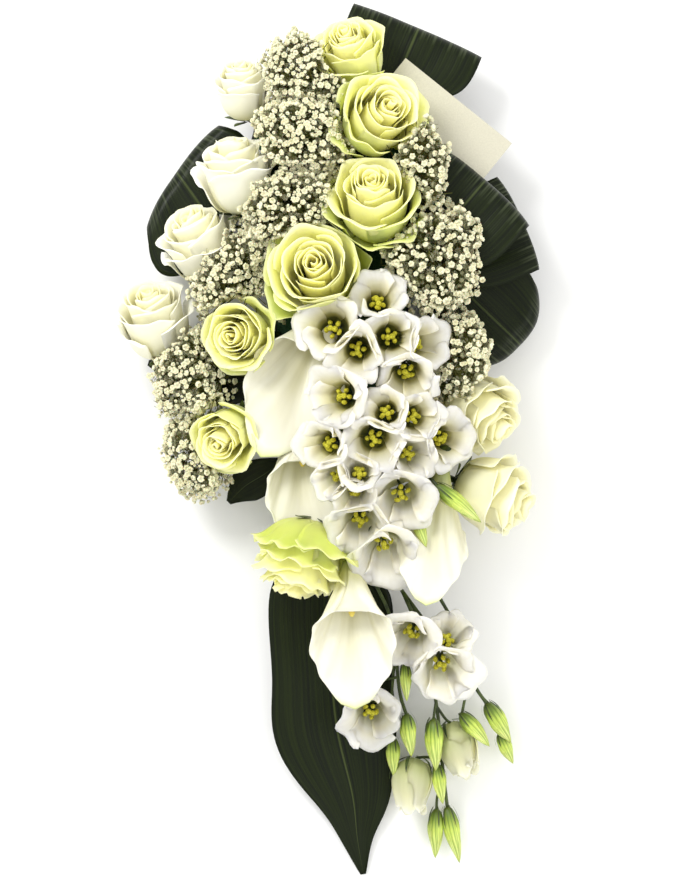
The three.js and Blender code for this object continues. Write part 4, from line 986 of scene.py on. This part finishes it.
def spathe(calla):
    """Calla spathe: a funnel that opens like a spoon, with soft folds and a wavy lip rolled back."""
    phase = calla.length * 0.7

    def point_at(u, v):
        angle = (u - 0.5) * 2 * math.pi * 1.05
        front = (1 + np.cos(angle)) / 2
        point = np.clip(1 - np.abs(angle) / 0.6, 0, 1) ** 1.6
        length = calla.length * (0.38 + 0.46 * front + 0.16 * point)
        deep = calla.radius * (0.42 + 0.1 * front)
        opened = np.clip((v - 0.35) / 0.5, 0, 1)
        square = 1 - 0.5 * opened
        along_side = bezier(v, CALLA_THROAT, CALLA_THROAT * 2.2, calla.radius * 0.82, calla.radius) + u * 1.6
        along_deep = bezier(v, CALLA_THROAT, CALLA_THROAT * 2.2, deep * 0.8, deep) + u * 1.6
        folds = 1.2 * np.cos(7 * angle + phase) * np.sin(math.pi * v) ** 2
        lip = np.clip((v - 0.84) / 0.16, 0, 1) ** 2
        ruffle = lip * (1.3 * np.sin(angle * 3 + 1) + 1.3 * np.sin(angle * 8 + phase))
        x = np.cos(angle) * (along_deep + folds) + ruffle * 0.5
        sine = np.sin(angle)
        y = np.sign(sine) * np.abs(sine) ** square * (along_side + folds + ruffle)
        droop = lip * (2.0 * np.abs(sine) + 1.2 * np.sin(angle * 6 + phase))
        height = length * bezier(v, 0, 0.4, 0.85, 1) - droop
        return np.stack([x, y, height], axis=-1) * MM

    return point_at


class ARRANGEMENT_OT_callas(bpy.types.Operator):
    """Grow the callas, each a spathe on its stem with a spadix inside"""

    bl_idname = "arrangement.callas"
    bl_label = "Callas"

    def execute(self, context):
        white, yellow, green = calla_spathe(), calla_spadix(), green_stem()
        for calla in CALLAS:
            matrix = standing(vec(calla.at), calla, calla.turn)
            way = facing(calla)
            growth = Growth()
            points, faces, uvs = grid(spathe(calla), SPATHE_GRID)
            across, along = uvs.T
            tipped = np.clip((along - 0.9) / 0.1, 0, 1) * np.clip(1 - np.abs(across - 0.5) / 0.05, 0, 1)
            growth.add(placed(matrix, points), faces, uvs, tipped)
            growth.piece(f"{calla.name}_spathe", [white], calla.name, "calla_spathe",
                         settings().spathe_thickness)
            base = Vector(calla.at)
            neck = base - way * CALLA_NECK
            path = smooth_path([base + way * CALLA_SUNK, base, neck, foot_under(neck, calla.foot)])
            stalk = Growth()
            stalk.add(*stems([path], CALLA_STEM * 0.8, green, 12))
            stalk.piece(f"{calla.name}_stalk", [green], record_slot="lisianthus_bud")
            start, end = CALLA_SUNK + 0.4, calla.length * calla.spadix
            profile = [(0, start), (2.2, start), (2.9, start + 6), (3.1, end * 0.7), (2.5, end - 3),
                       (1.4, end - 0.6), (0, end)]
            rod, faces = turned(profile, 20)
            spadix = Growth()
            spadix.add(placed(matrix, rod * MM), faces)
            spadix.piece(f"{calla.name}_spadix_rod", [yellow], f"{calla.name}_spadix", "calla_spadix")
        return {"FINISHED"}


def bell_profile(throat):
    return (HALF_OPEN_RADII, HALF_OPEN_HEIGHTS) if throat == HALF_OPEN else (BELL_RADII, BELL_HEIGHTS)


def bell_petal(radius, depth, turn, random, throat):
    """Lisianthus petal: cupped from a narrow foot, with a broad thick lip that rolls outwards."""
    half = (64 if throat == HALF_OPEN else 54) * DEGREE * random.uniform(0.95, 1.08)
    wave = random.uniform(0.04, 0.09)
    phase = random.uniform(0, 6)
    lift = random.uniform(0.90, 1.08)
    flare = random.uniform(0.84, 1.12)
    radii, heights = bell_profile(throat)

    def point_at(u, v):
        side = 2 * u - 1
        grows = 0.3 + 0.7 * np.sin(math.pi / 2 * np.minimum(v / 0.5, 1))
        angle = turn * DEGREE + side * half * grows
        tip = v * (1 - 0.2 * np.abs(side) ** 2.2)
        reach = spline(tip, radii) * (1 + (flare - 1) * v ** 2) + 0.08 * side * (0.2 + 0.8 * v)
        reach = reach + wave * np.sin(2.2 * math.pi * side + phase) * v ** 3
        height = spline(tip, heights) * lift + 1.1 * wave * np.cos(4.5 * side + phase) * v ** 3
        points = [reach * np.cos(angle) * radius, reach * np.sin(angle) * radius, height * depth]
        return np.stack(points, axis=-1) * MM

    return point_at


def bell(growth, bloom, depth, random, throat, press=None):
    """A lisianthus bloom: five petals and sepals and, where it is open, its stigma among five anthers."""
    base = vec(bloom.at) - facing(bloom) * depth * MM
    matrix = standing(base, bloom, random.uniform(0, 72))
    for way in FIVE_WAYS:
        turn = way + random.uniform(-5, 5)
        points, faces, uvs = grid(bell_petal(bloom.radius, depth, turn, random, throat), BELL_GRID)
        points = placed(matrix, points)
        growth.add(press(points) if press else points, faces, uvs, throat)
    radii, heights = bell_profile(throat)
    sepals(growth, matrix, sepal(
        1.4, lambda v: spline(0.4 * v, radii) * bloom.radius * 1.08 + 1.2,
        lambda v: spline(0.4 * v, heights) * depth - 1.5))
    if throat == HALF_OPEN:
        return base
    for way in FIVE_WAYS:
        angle = (way + 20) * DEGREE
        lean = Vector((math.cos(angle), math.sin(angle), 0))
        top = lean * bloom.radius * 0.2 + Vector((0, 0, depth * random.uniform(0.42, 0.52)))
        grain, faces = turned([(0, -3.2), (1.5, -2), (1.8, 0.4), (1.1, 2.4), (0, 3.2)], 8)
        place = Matrix.Translation(top) @ Matrix.Rotation(random.uniform(-50, 50) * DEGREE, 4, "X")
        growth.add(placed(matrix, placed(place, grain) * MM), faces, slot=2)
        root = lean * bloom.radius * 0.08 + Vector((0, 0, depth * 0.08))
        growth.add(*stems([[matrix @ (root * MM), matrix @ (top * MM)]], 0.4, green_stem(), 4), slot=1)
    for side in (-1, 1):
        lobe, faces = turned([(0, -2), (1.8, -1.4), (2.3, 0.6), (1.4, 2), (0, 2.3)], 10)
        place = Matrix.Translation((side * 1.7, 0, depth * 0.56)) @ Matrix.Rotation(side * 0.5, 4, "Y")
        growth.add(placed(matrix, placed(place, lobe) * MM), faces, slot=2)
    profile = [(0, 0), (3, depth * 0.1), (1.4, depth * 0.3), (1.1, depth * 0.52), (0, depth * 0.54)]
    pistil, faces = turned(profile, 8)
    growth.add(placed(matrix, pistil * MM), faces, slot=1)
    return base


def bell_materials():
    return [lisianthus_petal(), green_stem(), lisianthus_stamen()]


class ARRANGEMENT_OT_lisianthus(bpy.types.Operator):
    """Grow the sprays of white lisianthus and the single blooms at the pointed end"""

    bl_idname = "arrangement.lisianthus"
    bl_label = "Lisianthus"

    def execute(self, context):
        random = np.random.default_rng(settings().seed + 1)
        heads = all_heads()
        for spray in LISIANTHUS_SPRAYS:
            growth = Growth()
            bases = []
            for number, bloom in enumerate(spray.heads):
                own = heads[spray.name, number]
                depth = bloom.radius * LISIANTHUS_DEPTH_RATIO
                bases.append(bell(growth, bloom, depth, random, spray.throat,
                                  lambda p, own=own: pressed(p, own, heads, lap=3 * MM)))
            foot = vec(spray.foot)
            middle = sum(bases, Vector()) / len(bases)
            fork = foot.lerp(middle, STEM_FORK)
            paths = [[fork, foot], *([base, fork] for base in bases)]
            growth.add(*stems(paths, LISIANTHUS_STEM, green_stem()), slot=1)
            growth.piece(f"{spray.name}_blooms", bell_materials(), spray.name, "lisianthus_petal",
                         settings().petal_thickness)
        for bloom in TIP_BLOOMS:
            growth = Growth()
            bell(growth, bloom, bloom.depth, random, bloom.throat)
            growth.piece(f"{bloom.name}_bloom", bell_materials(), bloom.name, "lisianthus_petal",
                         settings().petal_thickness)
        return {"FINISHED"}


def bud_reach(share, radius):
    """A bud's reach from its axis at a share of its length."""
    return 0.95 * radius * (np.sin(math.pi * share ** 0.75) ** 0.8) * (1 - 0.12 * share)


def bud_shape(length, radius, twist, sides=20, rings=14):
    """A pointed bud of five petals wrapped tight, whose folds wind round it."""
    points = [(0, 0, 0), (0, 0, length)]
    for ring in range(1, rings):
        share = ring / rings
        body = bud_reach(share, radius)
        for side in range(sides):
            angle = side / sides * 2 * math.pi
            fold = 1 + 0.13 * math.cos(5 * angle) * min(share * 3, 1)
            turn = angle + twist * share
            points.append((body * fold * math.cos(turn), body * fold * math.sin(turn), length * share))
    points = np.array(points)
    round_share = np.arctan2(points[:, 1], points[:, 0]) / (2 * math.pi) + 0.5
    uvs = np.stack([round_share, points[:, 2] / length], axis=1)
    return points, ring_faces(sides, rings - 1), uvs


class ARRANGEMENT_OT_bud_sprays(bpy.types.Operator):
    """Grow the sprays of green buds"""

    bl_idname = "arrangement.bud_sprays"
    bl_label = "Bud sprays"

    def execute(self, context):
        random = np.random.default_rng(settings().seed + 2)
        skin, green = lisianthus_bud(), green_stem()
        for spray in BUD_SPRAYS:
            main = smooth_path(spray.stem)
            paths = [(main, spray.bud)]
            for side in spray.sides:
                start = share_of(main, side.share) / MM
                paths.append((smooth_path([start, *side.path]), side.bud))
            growth = Growth()
            growth.add(*stems([main], LISIANTHUS_STEM, green), slot=1)
            growth.add(*stems([path for path, _ in paths[1:]], LISIANTHUS_STEM * 0.8, green), slot=1)
            for path, bud in paths:
                if not bud:
                    continue
                tip = vec(bud.tip)
                way = (tip - path[-1]).normalized()
                start = path[-1] - way * BUD_OVERLAP * MM
                length = (tip - start).length / MM
                turn = Vector((0, 0, 1)).rotation_difference(way).to_matrix().to_4x4()
                matrix = Matrix.Translation(start) @ turn
                points, faces, uvs = bud_shape(length, bud.radius, random.uniform(0.9, 1.6))
                growth.add(placed(matrix, points * MM), faces, uvs)
                sepals(growth, matrix, sepal(
                    0.75, lambda v: bud_reach(0.04 + 0.34 * v, bud.radius) * 1.13 + 0.5,
                    lambda v: length * 0.38 * v))
            growth.piece(f"{spray.name}_green", [skin, green], spray.name, "lisianthus_bud")
        return {"FINISHED"}


def looped_blade(leaf):
    """Aspidistra blade that runs out from under the flowers, rolls over at the fold and runs back."""
    start, end = (Vector((x, y, 0)) for x, y in leaf.fold)
    half = (end - start).length / 2
    across = (end - start).normalized()
    inward = Vector((across.y, -across.x, 0))
    middle = (start + end) / 2
    lengths = (leaf.under - leaf.roll, math.pi * leaf.roll, leaf.over - leaf.roll)
    total = sum(lengths)

    def point_at(u, v):
        run = v * total
        angle = np.clip((run - lengths[0]) / leaf.roll, 0, math.pi)
        lower = run < lengths[0]
        upper = run > lengths[0] + lengths[1]
        back = leaf.roll - leaf.roll * np.sin(angle)
        back = np.where(lower, leaf.under - run, back)
        back = np.where(upper, run - lengths[0] - lengths[1] + leaf.roll, back)
        reach = np.where(lower, leaf.under, leaf.over)
        share = np.clip(back / reach, 0, 1)
        width = half * np.sqrt(1 - 0.97 * share ** 4) * (1 + leaf.bulge * np.sin(math.pi * share))
        side = 2 * u - 1
        slide = side * width - leaf.skew * back
        depth = back + leaf.round * np.abs(side) ** 3 * (1 - share)
        ripple = 0.5 * np.sin(side * 9 + back * 0.05)
        x = middle.x + inward.x * depth + across.x * slide
        y = middle.y + inward.y * depth + across.y * slide
        midrib = 0.8 * np.cos(math.pi * side / 2) ** 8
        z = leaf.height - leaf.roll * np.cos(angle) + leaf.rise * share + ripple - midrib
        return np.stack([x, y, z], axis=-1) * MM

    return point_at


def flat_blade(leaf):
    """Aspidistra blade along its middle line, folded a little at the midrib."""
    line = np.array([tuple(p / MM) for p in smooth_path(leaf.line, 12)])
    along = np.gradient(line, axis=0)
    along[:, 2] = 0
    along /= np.linalg.norm(along, axis=1)[:, None]
    places = np.linspace(0, 1, len(line))

    def point_at(u, v):
        side = 2 * u - 1
        middle = [np.interp(v, places, line[:, k]) for k in range(3)]
        way = [np.interp(v, places, along[:, k]) for k in range(2)]
        width = np.maximum(spline(v, leaf.half_widths), 0.5) * (1 + 0.03 * np.sin(v * 13 + side))
        x = middle[0] + way[1] * side * width
        y = middle[1] - way[0] * side * width
        z = middle[2] + np.abs(side) * width * 0.06 + 0.6 * np.sin(side * 7 + v * 9) * np.abs(side)
        return np.stack([x, y, z], axis=-1) * MM

    return point_at


class ARRANGEMENT_OT_leaves(bpy.types.Operator):
    """Fold and lay the aspidistra leaves"""

    bl_idname = "arrangement.leaves"
    bl_label = "Leaves"

    def execute(self, context):
        skin, green = aspidistra_leaf(), green_stem()
        blades = [(leaf, looped_blade(leaf), None) for leaf in LOOPED_LEAVES]
        blades += [(leaf, flat_blade(leaf), leaf.stalk_to) for leaf in FLAT_LEAVES]
        for leaf, blade, foot in blades:
            growth = Growth()
            points, faces, uvs = grid(blade, BLADE_GRID)
            # A layer of 1 gives a looped leaf its painted highlight on the ribs at the fold
            growth.add(points, faces, uvs, float(leaf in LOOPED_LEAVES))
            growth.piece(f"{leaf.name}_blade", [skin], leaf.name, "aspidistra_leaf",
                         settings().leaf_thickness)
            inside = blade(np.array(0.5), np.array(0.06))
            end = vec(foot or foot_under(blade(np.array(0.5), np.array(0.0)) / MM))
            stalk = Growth()
            stalk.add(*stems([[Vector(inside), end]], PETIOLE, green))
            stalk.piece(f"{leaf.name}_petiole", [green], record_slot="aspidistra_leaf")
        return {"FINISHED"}


def small_object(name, points, faces, green):
    """A temporary object to be repeated, 1 mm in size, with its share of green at each point."""
    mesh = bpy.data.meshes.new(name)
    mesh.from_pydata(points, [], faces)
    mesh.attributes.new("layer", "FLOAT", "POINT").data.foreach_set("value", green)
    made = bpy.data.objects.new(name, mesh)
    bpy.context.scene.collection.objects.link(made)
    return made


def floret_object():
    """A double gypsophila floret: five ruffled petals over a green cup, on a thread of stalk."""
    sides = 10
    points = [(0, 0, -0.12), (0, 0, 0.4)]
    for wide, narrow, high, low in ((0.5, 0.34, 0.3, 0.16), (0.32, 0.4, 0.62, 0.5)):
        for side in range(sides):
            angle = side / sides * 2 * math.pi
            reach, height = (wide, high) if side % 2 else (narrow, low)
            points.append((reach * math.cos(angle), reach * math.sin(angle), height))
    faces = ring_faces(sides, 2)
    green = [0.9, 0.35] + [0.0] * sides * 2
    start = len(points)
    for height in (-2.4, -0.05):
        points.extend((0.035 * math.cos(a), 0.035 * math.sin(a), height) for a in (0, 2.1, 4.2))
    faces += [(start + i, start + (i + 1) % 3, start + 3 + (i + 1) % 3, start + 3 + i) for i in range(3)]
    faces += [(start + 2, start + 1, start), (start + 3, start + 4, start + 5)]
    return small_object("floret", points, faces, green + [1.0] * 6)


def needle_object():
    """A thin dark sprig."""
    points = [(0.02 * math.cos(a), 0.02 * math.sin(a), -0.5) for a in (0, 2.1, 4.2)] + [(0, 0, 0.5)]
    faces = [(2, 1, 0), (0, 1, 3), (1, 2, 3), (2, 0, 3)]
    return small_object("needle", points, faces, [1.0] * 4)


def floret_tree():
    """Florets scattered over a cloud, each leaning its own way."""
    tree, given, result = node_group("Gypsophila florets", (
        ("Floret", "NodeSocketObject"), ("Spacing", "NodeSocketFloat"), ("Density", "NodeSocketFloat"),
        ("Smallest", "NodeSocketFloat"), ("Largest", "NodeSocketFloat"), ("Lean", "NodeSocketVector"),
        ("Seed", "NodeSocketInt"), ("Material", "NodeSocketMaterial")))
    spread = add(tree, "GeometryNodeDistributePointsOnFaces", {
        "distribute_method": "POISSON", "Mesh": given["Geometry"], "Distance Min": given["Spacing"],
        "Density Max": given["Density"], "Seed": given["Seed"]})
    size = add(tree, "FunctionNodeRandomValue", {
        "data_type": "FLOAT", 2: given["Smallest"], 3: given["Largest"], "Seed": given["Seed"]})
    back = add(tree, "ShaderNodeVectorMath", {"operation": "SCALE", 0: given["Lean"], "Scale": -1.0})
    lean = add(tree, "FunctionNodeRandomValue", {
        "data_type": "FLOAT_VECTOR", 0: back, 1: given["Lean"], "Seed": given["Seed"]})
    leaning = add(tree, "FunctionNodeEulerToRotation", {"Euler": lean})
    turned_by = add(tree, "FunctionNodeRotateRotation", {
        "rotation_space": "LOCAL", "Rotation": spread.outputs["Rotation"], "Rotate By": leaning})
    shape = add(tree, "GeometryNodeObjectInfo", {"Object": given["Floret"]})
    florets = add(tree, "GeometryNodeInstanceOnPoints", {
        "Points": spread, "Instance": shape.outputs["Geometry"], "Rotation": turned_by,
        "Scale": size.outputs[1]})
    real = add(tree, "GeometryNodeRealizeInstances", {"Geometry": florets})
    coloured = add(tree, "GeometryNodeSetMaterial", {"Geometry": real, "Material": given["Material"]})
    tree.links.new(coloured.outputs["Geometry"], result)
    return tree


def cloud_skirt(cloud, heads):
    """A low dome round a cloud that closes the gaps to the next clouds and leaves the other blooms free."""
    rings, sides = 10, 40
    turns = np.linspace(0, 2 * math.pi, sides, endpoint=False)
    turn, climb = np.meshgrid(turns, np.linspace(0.02, 1.5, rings))
    size = np.array(cloud.size) * (*cloud.skirt, 0.7)
    ways = [np.cos(turn) * np.sin(climb), np.sin(turn) * np.sin(climb), np.cos(climb)]
    points = (np.stack(ways, axis=-1).reshape(-1, 3) * size + cloud.at - np.array([0, 0, 9])) * MM
    free = np.ones(len(points), bool)
    for head in heads.values():
        free &= np.linalg.norm(points - np.array(head.middle), axis=1) > head.reach * 1.02
    faces = []
    for ring in range(rings - 1):
        for side in range(sides):
            low, high = ring * sides, (ring + 1) * sides
            after = (side + 1) % sides
            face = (low + side, high + side, high + after, low + after)
            if all(free[i] for i in face):
                faces.append(face)
    mesh = bpy.data.meshes.new("cloud_skirt")
    mesh.from_pydata(points.tolist(), [], faces)
    return bpy.data.objects.new("cloud_skirt", mesh)


def cloud_surface(cloud, share):
    """The CAD cloud's surface without its stem, drawn in towards the middle by a share."""
    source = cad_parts[cloud.name].data
    middle = np.array(cloud.at) * MM
    size = np.array(cloud.size) * MM
    points = np.array([tuple(v.co) for v in source.vertices])
    inside = np.linalg.norm((points - middle) / size, axis=1) < 1.06
    kept = [tuple(face.vertices) for face in source.polygons if all(inside[i] for i in face.vertices)]
    mesh = bpy.data.meshes.new("cloud_surface")
    mesh.from_pydata(((points - middle) * share + middle).tolist(), [], kept)
    return bpy.data.objects.new("cloud_surface", mesh)


def branch_paths(cloud, random):
    """Thread-like branches that fan out from the cloud's stem."""
    middle, size = np.array(cloud.at, float), np.array(cloud.size, float)
    foot = np.array(foot_under(cloud.at, cloud.foot), float)
    hub = middle + (foot - middle) * 0.25
    paths = [[Vector(foot) * MM, Vector(hub) * MM]]
    for _ in range(BRANCHES):
        way = random.normal(size=3)
        way[2] = abs(way[2]) * 0.9 - 0.2
        way /= np.linalg.norm(way)
        end = middle + way * size * random.uniform(0.6, 0.86)
        bend = (hub + end) / 2 + random.normal(size=3) * 3
        paths.append(smooth_path([tuple(hub), tuple(bend), tuple(end)], 4))
    return paths


class ARRANGEMENT_OT_gypsophila(bpy.types.Operator):
    """Scatter the clouds of gypsophila"""

    bl_idname = "arrangement.gypsophila"
    bl_label = "Gypsophila"

    def execute(self, context):
        s = settings()
        random = np.random.default_rng(s.seed + 3)
        paint, floret, needle, tree = gypsophila_floret(), floret_object(), needle_object(), floret_tree()
        heads = all_heads()
        for number, cloud in enumerate(GYPSOPHILA):
            growth = Growth()
            spacing = s.floret_spacing * cloud.looseness
            width = s.floret_width * math.sqrt(cloud.looseness)
            inside, outside = cloud_surface(cloud, 0.88), cloud_surface(cloud, 1.04)
            skirt = cloud_skirt(cloud, heads)
            # Each layer's surface, shape, spacing, smallest and largest size, lean each way and green share,
            # which on the inner and skirt florets is painted shade
            layers = (
                (outside, floret, spacing, 0.5 * width, 1.3 * width, (0.6, 0.6, 3.1), 0),
                (inside, floret, spacing * 1.1, 0.6 * width, 1.1 * width, (0.7, 0.7, 3.1), 0.75),
                (skirt, floret, spacing, 0.5 * width, 1.2 * width, (0.6, 0.6, 3.1), 0.2),
                (cloud_surface(cloud, 0.84), needle, 2.4 * MM, 10 * MM, 17 * MM, (1.2, 1.2, 3.1), 0),
            )
            for surface, shape, distance, smallest, largest, lean, green in layers:
                mesh = grown(surface, tree, {
                    "Floret": shape, "Spacing": 0.6 * distance, "Density": 0.95 / distance ** 2,
                    "Smallest": smallest, "Largest": largest, "Lean": lean,
                    "Seed": s.seed + number, "Material": paint})
                points, faces, layer = mesh_parts(mesh)
                # The green share paints the inner and skirt florets darker: painted shade
                growth.add(points, faces, layer=np.maximum(layer, green))
            growth.add(*stems(branch_paths(cloud, random), GYPSOPHILA_STEM * 0.4, paint, 4), layer=1.0)
            growth.piece(f"{cloud.name}_florets", [paint], cloud.name, "gypsophila_floret", smooth=False)
        for shape in (floret, needle):
            bpy.data.meshes.remove(shape.data)
        return {"FINISHED"}


class ARRANGEMENT_OT_tray_and_card(bpy.types.Operator):
    """Finish the tray, the foam, the card and its pick"""

    bl_idname = "arrangement.tray_and_card"
    bl_label = "Tray and card"

    def execute(self, context):
        finishes = (
            ("tray", tray_plastic),
            ("foam", wet_foam),
            ("card", card_board),
            ("card_pick", clear_polystyrene),
        )
        for name, finish in finishes:
            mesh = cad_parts[name].data
            mesh.materials.clear()
            mesh.materials.append(finish())
        return {"FINISHED"}


def soft_light(name, place, size, power):
    light = bpy.data.lights.new(name, "AREA")
    light.shape = "DISK"
    light.size = size
    light.energy = power
    lamp = bpy.data.objects.new(name, light)
    lamp.location = place
    aim = vec((*VIEW_MIDDLE, VIEW_HEIGHT)) - Vector(place)
    lamp.rotation_euler = aim.to_track_quat("-Z", "Y").to_euler()
    bpy.context.scene.collection.objects.link(lamp)


class ARRANGEMENT_OT_stage(bpy.types.Operator):
    """Set the pale floor, the soft light and the camera"""

    bl_idname = "arrangement.stage"
    bl_label = "Stage"

    def execute(self, context):
        scene = context.scene
        scene.view_settings.view_transform = "Standard"
        scene.view_settings.look = CONTRAST
        scene.view_settings.exposure = EXPOSURE
        mesh = bpy.data.meshes.new("floor")
        corners = [(x * FLOOR_HALF, y * FLOOR_HALF, 0) for x, y in ((-1, -1), (1, -1), (1, 1), (-1, 1))]
        mesh.from_pydata(corners, [], [(0, 1, 2, 3)])
        mesh.materials.append(pale_floor())
        floor = bpy.data.objects.new("floor", mesh)
        scene.collection.objects.link(floor)
        world = bpy.data.worlds.new("soft_studio")
        world.use_nodes = True
        sky = world.node_tree.nodes["Background"]
        sky.inputs["Color"].default_value = (1, 1, 1, 1)
        sky.inputs["Strength"].default_value = SKY_STRENGTH
        scene.world = world
        soft_light("key_light", *KEY_LIGHT)
        soft_light("fill_light", *FILL_LIGHT)
        camera_data = bpy.data.cameras.new("camera")
        camera_data.sensor_width = SENSOR
        camera_data.lens = SENSOR * VIEW_DISTANCE / VIEW_LONG_SIDE
        camera_data.clip_end = CAMERA_REACH
        camera = bpy.data.objects.new("camera", camera_data)
        camera.location = vec((*VIEW_MIDDLE, VIEW_DISTANCE + VIEW_HEIGHT))
        scene.collection.objects.link(camera)
        scene.camera = camera
        return {"FINISHED"}


class ARRANGEMENT_PT_panel(bpy.types.Panel):
    """Buttons that build the arrangement, and its sizes and colours"""

    bl_label = "Funeral arrangement"
    bl_space_type = "VIEW_3D"
    bl_region_type = "UI"
    bl_category = "Flowers"

    def draw(self, context):
        for operator in OPERATORS:
            self.layout.operator(operator.bl_idname)
        for name in ArrangementSettings.__annotations__:
            self.layout.prop(context.scene.arrangement, name)


OPERATORS = (
    ARRANGEMENT_OT_roses,
    ARRANGEMENT_OT_callas,
    ARRANGEMENT_OT_lisianthus,
    ARRANGEMENT_OT_bud_sprays,
    ARRANGEMENT_OT_leaves,
    ARRANGEMENT_OT_gypsophila,
    ARRANGEMENT_OT_tray_and_card,
    ARRANGEMENT_OT_stage,
)
CLASSES = (ArrangementSettings, *OPERATORS, ARRANGEMENT_PT_panel)


def register():
    for each in CLASSES:
        bpy.utils.register_class(each)
    bpy.types.Scene.arrangement = PointerProperty(type=ArrangementSettings)


def unregister():
    del bpy.types.Scene.arrangement
    for each in reversed(CLASSES):
        bpy.utils.unregister_class(each)


def main():
    register()
    for operator in OPERATORS:
        group, name = operator.bl_idname.split(".")
        getattr(getattr(bpy.ops, group), name)()
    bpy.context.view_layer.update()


if __name__ == "__main__":
    main()
